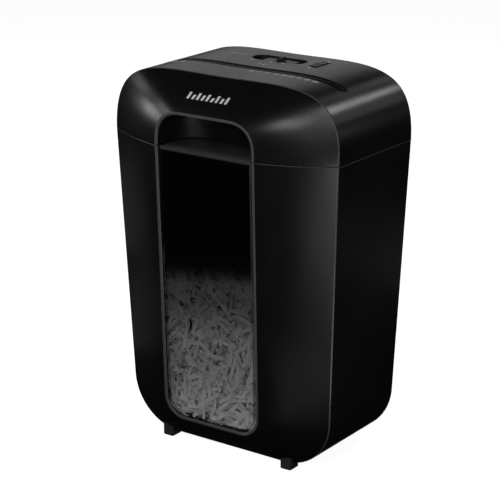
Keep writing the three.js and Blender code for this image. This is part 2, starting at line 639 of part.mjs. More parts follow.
const wheelOf = (pair, phase, plane) => ({ teeth: pair.wheel, module: pair.module, phase, plane });
const pinionOf = (pair, phase, plane) => ({ teeth: pair.pinion, module: pair.module, phase, plane });
piece('second_reduction_gear', reductionGear(secondAxle,
  wheelOf(SECOND_PAIR, bearing(secondAxle, firstAxle), PLANE_SECOND),
  pinionOf(THIRD_PAIR, facing(secondAxle, REAR_ROLL, THIRD_PAIR.pinion), PLANE_THIRD)), ...nylon);
piece('first_reduction_gear', reductionGear(firstAxle,
  wheelOf(FIRST_PAIR, bearing(firstAxle, MOTOR), PLANE_FIRST),
  pinionOf(SECOND_PAIR, facing(firstAxle, secondAxle, SECOND_PAIR.pinion), PLANE_SECOND)), ...nylon);

const RETAINER = { from: -139.9, to: -138.4, front: -28, rear: 44, bottom: 386, top: 437.5 };
const gearAxle = (from, at) => bar(from, -PLATE_INNER, AXLE_RADIUS, at.y, at.z, 16);
piece('first_gear_axle', gearAxle(PLANE_SECOND[0] - 0.8, firstAxle), ...steel);
piece('second_gear_axle', gearAxle(RETAINER.to + 0.1, secondAxle), ...steel);

const POST_RADIUS = 2.2;
const POSTS = [{ y: -24, z: 390 }, { y: -24, z: 433 }, { y: 38, z: 388.3 }];
let retainer = prism('x', roundRect(RETAINER.front, RETAINER.rear, RETAINER.bottom, RETAINER.top, 5),
  RETAINER.from, RETAINER.to);
for (const at of POSTS) {
  retainer = retainer.add(bar(RETAINER.to - 0.5, -PLATE_OUTER - CLEARANCE, POST_RADIUS, at.y, at.z, 8));
}
piece('gear_retainer', retainer, ...steel);

// ---------------------------------------------------------------- motor

const CAN_WALL = 1.6;
const SHAFT_HOLE = 4.6;
const canEnd = MOTOR.left + 3;
piece('motor_can', turned([[MOTOR.left, SHAFT_HOLE], [MOTOR.left, MOTOR.radius], [MOTOR.right, MOTOR.radius],
  [MOTOR.right, MOTOR.radius - CAN_WALL], [canEnd, MOTOR.radius - CAN_WALL], [canEnd, SHAFT_HOLE],
  [MOTOR.left, SHAFT_HOLE]], MOTOR.y, MOTOR.z, 24), ...steel);
const CAP = { left: MOTOR.right + CLEARANCE, right: MOTOR.right + 5 };
piece('motor_end_cap', turned([[CAP.left, SHAFT_HOLE], [CAP.left, MOTOR.radius],
  [CAP.right - 1, MOTOR.radius], [CAP.right, MOTOR.radius - 2], [CAP.right, SHAFT_HOLE],
  [CAP.left, SHAFT_HOLE]], MOTOR.y, MOTOR.z, 24), ...darkPlastic);

const ARMATURE = { radius: 15, left: -98, right: -50 };
const ROTOR = { left: PLANE_FIRST[0] - 0.5, right: -17, radius: 3.5 };
const rotorShaft = turned([[ROTOR.left, 0], [ROTOR.left, ROTOR.radius], [ARMATURE.left, ROTOR.radius],
  [ARMATURE.left, ARMATURE.radius], [ARMATURE.right, ARMATURE.radius], [ARMATURE.right, ROTOR.radius],
  [ROTOR.right, ROTOR.radius], [ROTOR.right, 0]], MOTOR.y, MOTOR.z, 16);
const motorPinion = prism('x', gearOutline(FIRST_PAIR.pinion, FIRST_PAIR.module, MOTOR.y, MOTOR.z,
  facing(MOTOR, firstAxle, FIRST_PAIR.pinion)), ...PLANE_FIRST);
piece('motor_rotor', rotorShaft.add(motorPinion), ...hardSteel);

const FAN = { left: -27, right: -19, hub: 7, radius: 21, blades: 7 };
let fan = prism('x', circle(MOTOR.y, MOTOR.z, FAN.hub, 14), FAN.left, FAN.right,
  [circle(MOTOR.y, MOTOR.z, 3.75, 14).reverse()]);
for (let i = 0; i < FAN.blades; i++) {
  const blade = new THREE.BoxGeometry(FAN.right - FAN.left - 1, FAN.radius - FAN.hub + 1.5, 1.2);
  blade.rotateZ(0.28);
  blade.translate((FAN.left + FAN.right) / 2, (FAN.radius + FAN.hub - 1.5) / 2, 0);
  blade.rotateX(i * 2 * Math.PI / FAN.blades);
  blade.translate(0, MOTOR.y, MOTOR.z);
  fan = fan.add(solid(blade));
}
piece('motor_fan', fan, ...darkPlastic);

// ---------------------------------------------------------------- electrics

const BOARD = { x: [18, 100], y: [26, 76], z: [392, 393.6] };
piece('circuit_board', box(...BOARD.x, ...BOARD.y, ...BOARD.z), 0x1f5a34, 0.5, 0);

const CAPACITOR = { left: 28, right: 72, radius: 10, y: 62 };
piece('run_capacitor', bar(CAPACITOR.left, CAPACITOR.right, CAPACITOR.radius, CAPACITOR.y,
  BOARD.z[1] + 0.5 + CAPACITOR.radius, 18), 0xc9c9c6, 0.4, 0);

const CUTOUT = { x: [-92, -76], half: 8, height: 5.7 };
const canTop = MOTOR.z + MOTOR.radius + CLEARANCE;
piece('thermal_cutout', box(...CUTOUT.x, MOTOR.y - CUTOUT.half, MOTOR.y + CUTOUT.half, canTop,
  canTop + CUTOUT.height), 0x202020, 0.5, 0);

const MODE_BODY = { half: 37, front: 31, rear: 58, top: 458.6, bottom: 445 };
piece('mode_switch_body', box(-MODE_BODY.half, MODE_BODY.half, MODE_BODY.front, MODE_BODY.rear,
  MODE_BODY.bottom, MODE_BODY.top), ...darkPlastic);

const SENSOR = { x: [-9, 9], y: [3, 9], z: [436.5, 449] };
piece('sensor_body', box(...SENSOR.x, ...SENSOR.y, ...SENSOR.z), ...darkPlastic);

const INTERLOCK = { halfWidth: 8, halfDepth: 4, z: [400, 412] };
piece('interlock_switch', box(PLUNGER.x - INTERLOCK.halfWidth, PLUNGER.x + INTERLOCK.halfWidth,
  PLUNGER.y - INTERLOCK.halfDepth, PLUNGER.y + INTERLOCK.halfDepth, ...INTERLOCK.z), ...greyPlastic);

// ---------------------------------------------------------------- controls that a hand or the paper moves

// a stadium plate with a finger rib standing across it
const MODE_SLIDER = { left: -20, right: 24, top: 462, bottom: MODE_BODY.top + CLEARANCE, radius: 9.6 };
const MODE_RIB = { x: 2, half: 1.4, footReach: 8.5, topReach: 7, sunk: 0.5, height: 3.5 };
const modePlate = prism('z', stadium(MODE_SLIDER.left, MODE_SLIDER.right, MODE_POCKET.y, MODE_SLIDER.radius),
  MODE_SLIDER.bottom, MODE_SLIDER.top);
const modeRib = prism('x', [[-MODE_RIB.footReach, -MODE_RIB.sunk], [MODE_RIB.footReach, -MODE_RIB.sunk],
  [MODE_RIB.topReach, MODE_RIB.height], [-MODE_RIB.topReach, MODE_RIB.height]]
  .map(([y, z]) => new THREE.Vector2(MODE_POCKET.y + y, MODE_SLIDER.top + z)),
MODE_RIB.x - MODE_RIB.half, MODE_RIB.x + MODE_RIB.half);
piece('mode_slider', modePlate.add(modeRib), ...blackPlastic);

const LOCK_SLIDER = { half: LOCK_SLOT.half - 0.5, front: 31.2, rear: 53.5, bottom: 457.9, top: 464.6 };
piece('lock_slider', prism('z', roundRect(LOCK_SLOT.x - LOCK_SLIDER.half, LOCK_SLOT.x + LOCK_SLIDER.half,
  LOCK_SLIDER.front, LOCK_SLIDER.rear, 1.6, 3), LOCK_SLIDER.bottom, LOCK_SLIDER.top), ...darkPlastic);

const LOCK_BODY = { half: 9, front: 27.5, rear: 62.5, bottom: 448, top: 457.6 };
piece('lock_body', box(LOCK_SLOT.x - LOCK_BODY.half, LOCK_SLOT.x + LOCK_BODY.half,
  LOCK_BODY.front, LOCK_BODY.rear, LOCK_BODY.bottom, LOCK_BODY.top), ...darkPlastic);

piece('interlock_plunger', prism('z', circle(PLUNGER.x, PLUNGER.y, PLUNGER.radius, 12),
  PLUNGER.bottom, PLUNGER.top), ...nylon);

const flagArm = prism('x', [[-3, -2.5], [3, -2.5], [3, 2.5], [-2, 2.5], [-10.5, -10], [-12.5, -14], [-9.5, -14]]
  .map(([y, z]) => new THREE.Vector2(FLAG.y + y, FLAG.z + z)), FLAG.x - FLAG.half, FLAG.x + FLAG.half);
piece('paper_flag', flagArm, ...nylon);

export default root;
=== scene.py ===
import json
import random
from math import atan, cos, pi, radians, sin, sqrt, tan

import bmesh
import bpy
import numpy as np
from mathutils import Matrix, Vector

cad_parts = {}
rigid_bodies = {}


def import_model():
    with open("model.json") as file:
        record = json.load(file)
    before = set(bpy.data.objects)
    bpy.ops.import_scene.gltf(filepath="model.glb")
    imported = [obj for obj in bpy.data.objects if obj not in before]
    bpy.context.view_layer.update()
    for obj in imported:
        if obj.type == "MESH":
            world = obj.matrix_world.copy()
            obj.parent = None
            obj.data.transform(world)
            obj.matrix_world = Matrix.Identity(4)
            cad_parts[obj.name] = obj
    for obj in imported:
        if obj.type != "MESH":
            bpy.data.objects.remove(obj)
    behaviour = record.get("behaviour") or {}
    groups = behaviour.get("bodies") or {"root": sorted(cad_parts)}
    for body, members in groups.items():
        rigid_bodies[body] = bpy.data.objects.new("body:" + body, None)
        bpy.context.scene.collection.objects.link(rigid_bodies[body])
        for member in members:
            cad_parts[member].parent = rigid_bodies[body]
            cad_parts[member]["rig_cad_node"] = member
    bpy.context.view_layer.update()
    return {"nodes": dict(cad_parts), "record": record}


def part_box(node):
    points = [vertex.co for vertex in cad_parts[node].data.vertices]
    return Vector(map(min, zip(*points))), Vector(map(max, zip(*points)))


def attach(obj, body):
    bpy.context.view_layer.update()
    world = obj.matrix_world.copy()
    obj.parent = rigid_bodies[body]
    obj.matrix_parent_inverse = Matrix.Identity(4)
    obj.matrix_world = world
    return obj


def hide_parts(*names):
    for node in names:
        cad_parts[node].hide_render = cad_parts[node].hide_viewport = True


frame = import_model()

scene = bpy.context.scene

# -------- camera
# A long lens, a little above the shredder and to its right, looking at the front.

camera_data = bpy.data.cameras.new("camera")
camera_data.lens = 131.8
camera_data.sensor_width = 36.0
camera_data.clip_start = 0.05
camera = bpy.data.objects.new("camera", camera_data)
scene.collection.objects.link(camera)
camera.location = (1.2045, -1.7081, 0.9072)
camera_aim = Vector((-0.0181, 0.0090, 0.2330))
camera.rotation_euler = (camera_aim - camera.location).to_track_quat("-Z", "Y").to_euler()
scene.camera = camera

# -------- floor
# A white studio floor without a horizon. It glows a little, so that it stays pale to its far edge,
# and the shredder's soft shadow still shows on it.

scene.view_settings.view_transform = "Standard"


def set_inputs(tree, node, inputs):
    """Gives a node's inputs constants, or links from the outputs of other nodes."""
    for name, value in inputs.items():
        if isinstance(value, bpy.types.NodeSocket):
            tree.links.new(value, node.inputs[name])
        else:
            node.inputs[name].default_value = value


def add_node(tree, kind, inputs, **settings):
    node = tree.nodes.new("ShaderNode" + kind)
    for name, value in settings.items():
        setattr(node, name, value)
    set_inputs(tree, node, inputs)
    return node


def new_material(name):
    """A material with its node tree and its shader."""
    material = bpy.data.materials.new(name)
    material.use_nodes = True
    return material, material.node_tree, material.node_tree.nodes["Principled BSDF"]


def enter_edit():
    bpy.ops.object.mode_set(mode="EDIT")


def leave_edit():
    bpy.ops.object.mode_set(mode="OBJECT")


def deselect_all():
    """Leaves object mode with nothing selected."""
    if bpy.context.object and bpy.context.object.mode != "OBJECT":
        leave_edit()
    bpy.ops.object.select_all(action="DESELECT")


world = bpy.data.worlds.new("studio")
scene.world = world
world.use_nodes = True
tree = world.node_tree
dim_room = tree.nodes["Background"]
set_inputs(tree, dim_room, {"Color": (0.006, 0.006, 0.006, 1)})
seen = add_node(tree, "LightPath", {})
white_room = add_node(tree, "Background", {"Color": (1, 1, 1, 1)})
rooms = {0: seen.outputs["Is Camera Ray"], 1: dim_room.outputs[0], 2: white_room.outputs[0]}
pick = add_node(tree, "MixShader", rooms)
set_inputs(tree, tree.nodes["World Output"], {"Surface": pick.outputs[0]})

deselect_all()
bpy.ops.mesh.primitive_plane_add(size=12)
floor = bpy.context.object
floor.name = "studio_floor"
floor_paint, tree, paint = new_material("studio_white")
white, pale = (1, 1, 1, 1), (0.8, 0.8, 0.8, 1)
set_inputs(tree, paint, {"Base Color": pale, "Roughness": 0.9, "Specular IOR Level": 0.0})
set_inputs(tree, paint, {"Emission Color": white, "Emission Strength": 0.93})
floor.data.materials.append(floor_paint)
floor.visible_glossy = False
floor.visible_diffuse = False

# -------- studio lights
# Soft boxes round the shredder. Each stands in its own direction from the middle of the body, and its
# power follows from how bright its face is and how large it is.

body_middle = Vector((0, 0, 0.25))


def softbox(name, direction, distance, size, brightness, glossy=True, aim=body_middle):
    """A rectangular light at a distance in a direction, facing the body."""
    data = bpy.data.lights.new(name, "AREA")
    data.shape = "RECTANGLE"
    data.size, data.size_y = size
    data.energy = brightness * pi * size[0] * size[1]
    light = bpy.data.objects.new(name, data)
    scene.collection.objects.link(light)
    outward = Vector(direction).normalized()
    light.location = aim + outward * distance
    light.rotation_euler = outward.to_track_quat("Z", "Y").to_euler()
    light.visible_camera = False
    light.visible_glossy = glossy
    return light


box_distance = 2.3
box_size = (0.45, 0.45)
boxes = {
    "front_low": ((0.379, -0.915, 0.139), 0.98),
    "front_right_low": ((0.700, -0.700, 0.139), 5.0),
    "back_right_low": ((0.700, 0.700, 0.139), 0.59),
    "left_low": ((-0.915, -0.379, 0.139), 6.4),
    "front": ((0.177, -0.910, 0.375), 7.2),
    "front_right": ((0.512, -0.773, 0.375), 4.0),
    "back_right": ((0.518, 0.769, 0.375), 0.77),
    "left": ((-0.910, -0.177, 0.375), 1.7),
    "front_left": ((-0.773, -0.512, 0.375), 3.5),
    "front_high": ((0.351, -0.729, 0.588), 5.3),
    "back_high": ((0.351, 0.729, 0.588), 5.6),
    "back_middle": ((0.0, 0.809, 0.588), 0.53),
}
for name, (direction, brightness) in boxes.items():
    softbox(name, direction, box_distance, box_size, brightness)

softbox("top_fill", (-0.2, -0.3, 0.93), box_distance, (1.0, 1.0), 2.6, glossy=False)
softbox("top_panel", (-0.55, 0.78, 0.33), box_distance, (1.5, 0.8), 0.42)

# Small cards lie on the floor and light the lower half of the facets and the edge between front and side.
floor_cards = {
    "card_front": ((0.22, -0.30), 0.2, 0.23),
    "card_front_right": ((0.50, -0.40), 0.2, 1.9),
    "card_far_front": ((0.50, -0.75), 0.3, 1.0),
    "card_right": ((0.45, -0.10), 0.3, 1.7),
    "card_far_right": ((0.90, -1.00), 0.5, 4.4),
    "card_left": ((-1.00, 0.00), 0.5, 0.09),
    "card_near_left": ((-0.50, -0.10), 0.3, 0.06),
    "card_back_right": ((0.34, 0.66), 0.3, 0.10),
    "card_back_left": ((-0.34, 0.66), 0.3, 0.9),
}
for name, ((x, y), size, brightness) in floor_cards.items():
    card = softbox(name, (0, 0, 1), 0, (size, size), brightness, aim=Vector((x, y, 0.012)))
    card.rotation_euler = (pi, 0, 0)

# -------- bin shell
# The waste bin is one deep injection moulding in satin black plastic. Its front runs in four facets up to
# a raised rim round the window, its sides taper towards the floor, and the head sits on its top edge.

foot_height = 0.0046
seam_z = 0.381
seam_gap = 0.0006
crown_height = 0.0822
half_width_seam = 0.1575
half_width_base = 0.1415
base_corner_radius = 0.065
crown_shoulder = 0.0937
crown_flat = 0.0958
front_edge = {"base": -0.0581, "seam": -0.0696, "top": -0.0666, "bow": -0.0042}
rear_edge = {"base": 0.0795, "seam": 0.0876, "top": 0.0858}
rear_bulge = 0.020
rear_panel_inset = 0.045
rim_half_seam = 0.0693
rim_half_base = 0.0676
rim_top = 0.4234
rim_bottom = 0.0426
rim_plane_seam = -0.1076
rim_plane_base = -0.0946
arch_radius = 0.036
arch_power = 2.4
rim_base_radius = 0.027
rim_lip = 0.003
rim_depth = 0.0034
shell_thickness = 0.0016
quarter_steps = 48
taper = atan((half_width_seam - half_width_base) / (seam_z - foot_height))


def mix(a, b, share):
    return a + (b - a) * share


def up_bin(z):
    return (z - foot_height) / (seam_z - foot_height)


def up_crown(z):
    return (z - seam_z) / crown_height


def front_edge_y(x, z):
    """How far forward the body's outline stands."""
    if z <= seam_z:
        return mix(front_edge["base"], front_edge["seam"], up_bin(z))
    bow = front_edge["bow"] * (1 - (x / half_width_seam) ** 2)
    return front_edge["seam"] + (front_edge["top"] - front_edge["seam"] + bow) * up_crown(z)


def rear_edge_y(x, z):
    """How far back the body's outline stands, the same all the way across."""
    if z <= seam_z:
        return mix(rear_edge["base"], rear_edge["seam"], up_bin(z))
    return mix(rear_edge["seam"], rear_edge["top"], up_crown(z))


def rear_panel_y(x, z):
    return rear_edge_y(x, z) + rear_bulge


def rim_plane_y(x, z):
    """The leaning plane of the window's rim."""
    return mix(rim_plane_base, rim_plane_seam, min(up_bin(z), 1))


def lower_quarter(half_seam, half_base, bottom, radius, inset):
    """Down a straight side, round a corner and along the base to the middle."""
    lean = atan((half_seam - half_base) / (seam_z - foot_height))
    r = radius - inset
    slack = r * (1 - sin(lean)) / cos(lean)
    side, corner = 2 / 12, 10 / 12

    def line_at(z):
        return half_base + tan(lean) * (z - foot_height) - inset / cos(lean)

    centre_z = bottom + radius
    centre_x = line_at(bottom + inset) - slack

    def at(u):
        if u <= side:
            z = mix(seam_z, centre_z - r * sin(lean), u / side)
            return line_at(z), z
        if u <= corner:
            angle = mix(-lean, -pi / 2, (u - side) / (corner - side))
            return centre_x + r * cos(angle), centre_z + r * sin(angle)
        return centre_x * (1 - u) / (1 - corner), bottom + inset

    return at


def crown_quarter(inset):
    """The crown: a cubic curve from the seam over to the middle of the top."""
    top = seam_z + crown_height
    p = [
        Vector((half_width_seam, seam_z)),
        Vector((half_width_seam, seam_z)) + crown_shoulder * Vector((sin(taper), cos(taper))),
        Vector((crown_flat, top)),
        Vector((0, top)),
    ]

    def at(u):
        v = 1 - u
        place = p[0] * v**3 + p[1] * 3 * v * v * u + p[2] * 3 * v * u * u + p[3] * u**3
        along = (p[1] - p[0]) * v * v + (p[2] - p[1]) * 2 * v * u + (p[3] - p[2]) * u * u
        along.normalize()
        return place.x - along.y * inset, place.y + along.x * inset

    return at


def arch_quarter(inset):
    """The arch over the hand recess: straight, then round a soft square corner."""
    half = rim_half_seam - inset
    top = rim_top - inset
    radius = arch_radius - inset
    side, corner = 1.5 / 12, 8.5 / 12

    def at(u):
        if u <= side:
            return half, mix(seam_z, top - radius, u / side)
        if u <= corner:
            angle = pi / 2 * (u - side) / (corner - side)
            across = max(cos(angle), 0) ** (2 / arch_power)
            rise = sin(angle) ** (2 / arch_power)
            return half - radius + radius * across, top - radius + radius * rise
        return (half - radius) * (1 - u) / (1 - corner), top

    return at


def whole_outline(upper, lower):
    """A closed outline from its two right-hand quarters, as (x, z) points."""
    steps = [k / quarter_steps for k in range(quarter_steps)]
    back = [1 - u for u in steps]
    points = [upper(u) for u in steps]
    points += [(-x, z) for x, z in map(upper, back)]
    points += [(-x, z) for x, z in map(lower, steps)]
    points += [lower(u) for u in back]
    return points


def body_outline(inset):
    lower = lower_quarter(half_width_seam, half_width_base, foot_height, base_corner_radius, inset)
    return whole_outline(crown_quarter(inset), lower)


def rim_outline(inset):
    lower = lower_quarter(rim_half_seam, rim_half_base, rim_bottom, rim_base_radius, inset)
    return whole_outline(arch_quarter(inset), lower)


def lay_ring(points):
    """Moves each selected point to its own place on an outline."""
    mesh = bpy.context.object.data
    cage = bmesh.from_edit_mesh(mesh)
    around = cage.verts.layers.int["around"]
    for vertex in cage.verts:
        if vertex.select:
            vertex.co = points[vertex[around]]
    bmesh.update_edit_mesh(mesh)


def start_ring(name, points):
    """A first ring of points, left selected in edit mode."""
    deselect_all()
    bpy.ops.mesh.primitive_circle_add(vertices=len(points), radius=0.1)
    ring = bpy.context.object
    ring.name = name
    enter_edit()
    bpy.ops.mesh.select_mode(type="VERT")
    select_all()
    cage = bmesh.from_edit_mesh(ring.data)
    around = cage.verts.layers.int.new("around")
    cage.verts.ensure_lookup_table()
    for vertex in cage.verts:
        vertex[around] = vertex.index
    bmesh.update_edit_mesh(ring.data)
    lay_ring(points)
    return ring


def next_ring(points):
    bpy.ops.mesh.extrude_region_move()
    lay_ring(points)


def select_where(obj, kind, test):
    """In edit mode, selects just the vertices, edges or faces that pass a test."""
    bpy.ops.mesh.select_mode(type=kind[:-1].upper())
    bpy.ops.mesh.select_all(action="DESELECT")
    cage = bmesh.from_edit_mesh(obj.data)
    for part in getattr(cage, kind):
        if test(part):
            part.select_set(True)
    bmesh.update_edit_mesh(obj.data)


def take(obj):
    """Selects one object alone and makes it the active one."""
    deselect_all()
    bpy.context.view_layer.objects.active = obj
    obj.select_set(True)


def edit(obj):
    take(obj)
    enter_edit()


def select_all():
    bpy.ops.mesh.select_all(action="SELECT")


def add_and_apply(obj, kind, **settings):
    """Adds a modifier to a piece and applies it."""
    take(obj)
    bpy.ops.object.modifier_add(type=kind)
    modifier = obj.modifiers[-1]
    for key, value in settings.items():
        setattr(modifier, key, value)
    bpy.ops.object.modifier_apply(modifier=modifier.name)


def mark_highlight_and_matt(obj, highlight_and_matt):
    """Notes a mark on the selected faces: above nought for a painted highlight on rims and rounded edges, -1
    for a matt recess.
    """
    cage = bmesh.from_edit_mesh(obj.data)
    mark = cage.faces.layers.float.get("highlight_and_matt") or cage.faces.layers.float.new("highlight_and_matt")
    for face in cage.faces:
        if face.select:
            face[mark] = highlight_and_matt
    bmesh.update_edit_mesh(obj.data)


def mark_where(obj, test, highlight_and_matt):
    edit(obj)
    select_where(obj, "faces", test)
    mark_highlight_and_matt(obj, highlight_and_matt)
    leave_edit()


def round_edges(obj, width, segments, test, highlight_and_matt=0.0):
    """Rounds the edges that pass a test, and can mark the rounds for a painted highlight."""
    edit(obj)
    select_where(obj, "edges", test)
    bpy.ops.mesh.bevel(offset=width, offset_type="OFFSET", segments=segments, profile=0.5, affect="EDGES")
    if highlight_and_matt:
        mark_highlight_and_matt(obj, highlight_and_matt)
    leave_edit()


def put_down(obj, angle=32):
    """Finishes a piece: its place goes into its mesh and it shades smoothly."""
    take(obj)
    bpy.ops.object.transform_apply(location=True, rotation=True, scale=True)
    bpy.ops.object.shade_smooth_by_angle(angle=radians(angle))
    around = obj.data.attributes.get("around")
    if around:
        obj.data.attributes.remove(around)


facet_steps = 10
facet_bulge = 0.0036
side_steps = 6
rear_steps = 3


def along_outline(outline, y_at):
    return [Vector((x, y_at(x, z), z)) for x, z in outline]


def close_and_finish():
    """Merges a mesh's doubles, turns its faces outwards and leaves edit mode."""
    select_all()
    bpy.ops.mesh.remove_doubles(threshold=1e-6)
    bpy.ops.mesh.normals_make_consistent(inside=False)
    leave_edit()


def outer_skin(name, first_rings):
    """The body's outside, ring after ring from the window's lip to the middle of the back."""
    rim = along_outline(rim_outline(0), rim_plane_y)
    lip = along_outline(rim_outline(rim_lip), rim_plane_y)
    outline = body_outline(0)
    front = along_outline(outline, front_edge_y)
    rear = along_outline(outline, rear_edge_y)
    panel = along_outline(body_outline(rear_panel_inset), rear_panel_y)
    skin = start_ring(name, first_rings[0])
    for ring in first_rings[1:] + [lip, rim]:
        next_ring(ring)
    for step in range(1, facet_steps + 1):
        share = step / facet_steps
        swell = Vector((0, -4 * facet_bulge * share * (1 - share), 0))
        next_ring([a.lerp(b, share) + swell for a, b in zip(rim, front)])
    for near, far, steps in ((front, rear, side_steps), (rear, panel, rear_steps)):
        for step in range(1, steps + 1):
            next_ring([a.lerp(b, step / steps) for a, b in zip(near, far)])
    middle_z = (foot_height + seam_z + crown_height) / 2
    for width in (0.7, 0.4):
        flat = []
        for place in panel:
            z = middle_z + (place.z - middle_z) * mix(0.6, 1, width)
            flat.append(Vector((place.x * width, rear_panel_y(0, z), z)))
        next_ring(flat)
    bpy.ops.mesh.edge_face_add()
    close_and_finish()
    return skin


def is_on(outline, y_at, close=5e-5):
    """A test for the edges that lie along one ring of the skin."""
    ring = along_outline(outline, y_at)
    sides = list(zip(ring, ring[1:] + ring[:1]))

    def on(vertex):
        place = vertex.co
        if abs(place.y - y_at(place.x, place.z)) > 2 * close:
            return False
        for start, end in sides:
            if abs(start.z - place.z) < 0.04 and abs(start.x - place.x) < 0.03:
                along = end - start
                share = max(0, min(1, (place - start).dot(along) / along.length_squared))
                if (start + along * share - place).length < close:
                    return True
        return False

    return lambda edge: all(on(v) for v in edge.verts)


def round_body_edges(shell):
    """Rounds the window rim, the outline in front and behind, and the back panel. The rim, its flat band and
    the front outline are marked for a painted highlight.
    """
    round_edges(shell, 0.0012, 4, is_on(rim_outline(rim_lip), rim_plane_y), highlight_and_matt=1.0)
    round_edges(shell, 0.0008, 3, is_on(rim_outline(0), rim_plane_y), highlight_and_matt=1.0)
    mark_where(shell, lambda f: all(abs(v.co.y - rim_plane_y(0, v.co.z)) < 1e-5 for v in f.verts), 1.0)
    round_edges(shell, 0.0011, 3, is_on(body_outline(0), front_edge_y), highlight_and_matt=0.8)
    round_edges(shell, 0.0030, 4, is_on(body_outline(0), rear_edge_y))
    round_edges(shell, 0.0060, 4, is_on(body_outline(rear_panel_inset), rear_panel_y))


def slice_at(axis, place, **clear):
    """Cuts all of the edited mesh by a plane across an axis."""
    select_all()
    across = Vector([float(i == axis) for i in range(3)])
    bpy.ops.mesh.bisect(plane_co=across * place, plane_no=across, **clear)


def cut_level(obj, z, keep_above):
    edit(obj)
    bpy.ops.mesh.select_mode(type="FACE")
    slice_at(2, z, clear_inner=keep_above, clear_outer=not keep_above)
    leave_edit()


def give_thickness(obj, thickness, edge_z, seam_highlight=0.0):
    """Thickens a skin inwards and takes the sharpness off its edge at a level, which can be marked for a
    painted highlight.
    """
    outside = len(obj.data.vertices)
    add_and_apply(
        obj, "SOLIDIFY", thickness=thickness, offset=-1, use_even_offset=True, use_quality_normals=True
    )

    def at_seam(edge):
        return all(v.index < outside and abs(v.co.z - edge_z) < 1e-5 for v in edge.verts)

    round_edges(obj, 0.0005, 2, at_seam, highlight_and_matt=seam_highlight)


def colour_ramp(tree, source, stops, interpolation="LINEAR"):
    """A colour ramp with a place and a colour for each stop."""
    node = add_node(tree, "ValToRGB", {"Fac": source})
    ramp = node.color_ramp
    ramp.interpolation = interpolation
    while len(ramp.elements) < len(stops):
        ramp.elements.new(0.5)
    for element, (place, colour) in zip(ramp.elements, stops):
        element.position = place
        element.color = tuple(colour) + (1,)
    return node.outputs["Color"]


def moulded_black(name, colour, roughness, grain=0.00032, relief=0.000012, highlight_colour=None):
    """Plastic from a spark-eroded mould: a fine even grain, a little uneven in its gloss.

    A painted highlight colour goes on the faces marked above nought, in place of the light that rims and
    rounded edges catch, and those marked below nought are more matt.
    """
    material, tree, plastic = new_material(name)
    place = add_node(tree, "TexCoord", {}).outputs["Object"]
    tone = add_node(tree, "TexNoise", {"Scale": 14.0, "Detail": 4.0, "Vector": place}).outputs["Fac"]
    gloss_range = {"From Min": 0.3, "From Max": 0.7, "To Min": roughness - 0.025, "To Max": roughness + 0.025}
    gloss = add_node(tree, "MapRange", {"Value": tone, **gloss_range}).outputs["Result"]
    shade = colour_ramp(tree, tone, [(0.3, [c * 0.85 for c in colour]), (0.7, [c * 1.15 for c in colour])])
    if highlight_colour:
        highlight_and_matt = add_node(tree, "Attribute", {}, attribute_name="highlight_and_matt").outputs["Fac"]
        edge = add_node(tree, "MixRGB", {0: highlight_and_matt, 1: shade, 2: highlight_colour + (1,)}, use_clamp=True)
        shade = edge.outputs["Color"]
        matt_range = {"From Min": 0.0, "From Max": -1.0, "To Max": 0.15}
        matt = add_node(tree, "MapRange", {"Value": highlight_and_matt, **matt_range}).outputs["Result"]
        gloss = add_node(tree, "Math", {0: gloss, 1: matt}).outputs[0]
    speckle = add_node(tree, "TexNoise", {"Scale": 1 / grain, "Detail": 2.0, "Vector": place})
    bump = {"Strength": 0.5, "Distance": relief, "Height": speckle.outputs["Fac"]}
    skin = add_node(tree, "Bump", bump)
    set_inputs(tree, plastic, {"Base Color": shade, "Roughness": gloss, "Normal": skin.outputs["Normal"]})
    return material


# The light grey put on the marked rims, front outline and seam is a painted highlight.
satin_black = moulded_black("satin_black", (0.006, 0.006, 0.0066), 0.27, highlight_colour=(0.11, 0.11, 0.112))


def paint_piece(obj, material):
    obj.data.materials.clear()
    obj.data.materials.append(material)


lip_back = along_outline(rim_outline(rim_lip), lambda x, z: rim_plane_y(x, z) + rim_depth)
bin_shell = outer_skin("bin_body", [lip_back])
cut_level(bin_shell, seam_z - seam_gap, keep_above=False)
# The bin's seam edge is painted light grey, as a painted highlight.
give_thickness(bin_shell, shell_thickness, seam_z - seam_gap, seam_highlight=0.9)
round_body_edges(bin_shell)
put_down(bin_shell)
add_and_apply(bin_shell, "WEIGHTED_NORMAL", keep_sharp=True)
paint_piece(bin_shell, satin_black)
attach(bin_shell, "bin")
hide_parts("bin_shell")

# -------- head cover
# The cover of the motor head carries on the bin's facets and closes them in a rounded crown. Its arch
# runs back into a hand recess, and its top is cut for the paper slot and the two slide switches.

recess_rear = -0.048
recess_corner = 0.036
recess_turns = 8


def recess_rings():
    """The hand recess from its back wall forward, narrowed by its two large rear corners."""
    outline = rim_outline(rim_lip)
    rings = []
    for step in range(recess_turns + 1):
        angle = pi / 2 * (1 - step / recess_turns)
        y = recess_rear - recess_corner + recess_corner * sin(angle)
        half = rim_half_seam - rim_lip - recess_corner + recess_corner * cos(angle)
        rings.append([Vector((max(-half, min(half, x)), y, z)) for x, z in outline])
    return rings


head_cover = outer_skin("head_shell", recess_rings())
edit(head_cover)
select_where(head_cover, "verts", lambda v: abs(v.co.y - recess_rear) < 1e-6)
bpy.ops.mesh.edge_face_add()
close_and_finish()
cut_level(head_cover, seam_z, keep_above=True)
give_thickness(head_cover, shell_thickness, seam_z)


def crown_top(x):
    """The height of the crown's top at a place across it."""
    crown = crown_quarter(0)
    low, high = 0.2, 1.0
    for _ in range(40):
        middle = (low + high) / 2
        low, high = (middle, high) if crown(middle)[0] > abs(x) else (low, middle)
    return crown(low)[1]


slot_half = 0.128
slot_front = -0.0194
slot_rear = -0.0060
slot_depth = 0.0100
slot_foot = -0.0112
slot_ramp = 0.0013
slot_stations = 64
slot_end_run = 0.008


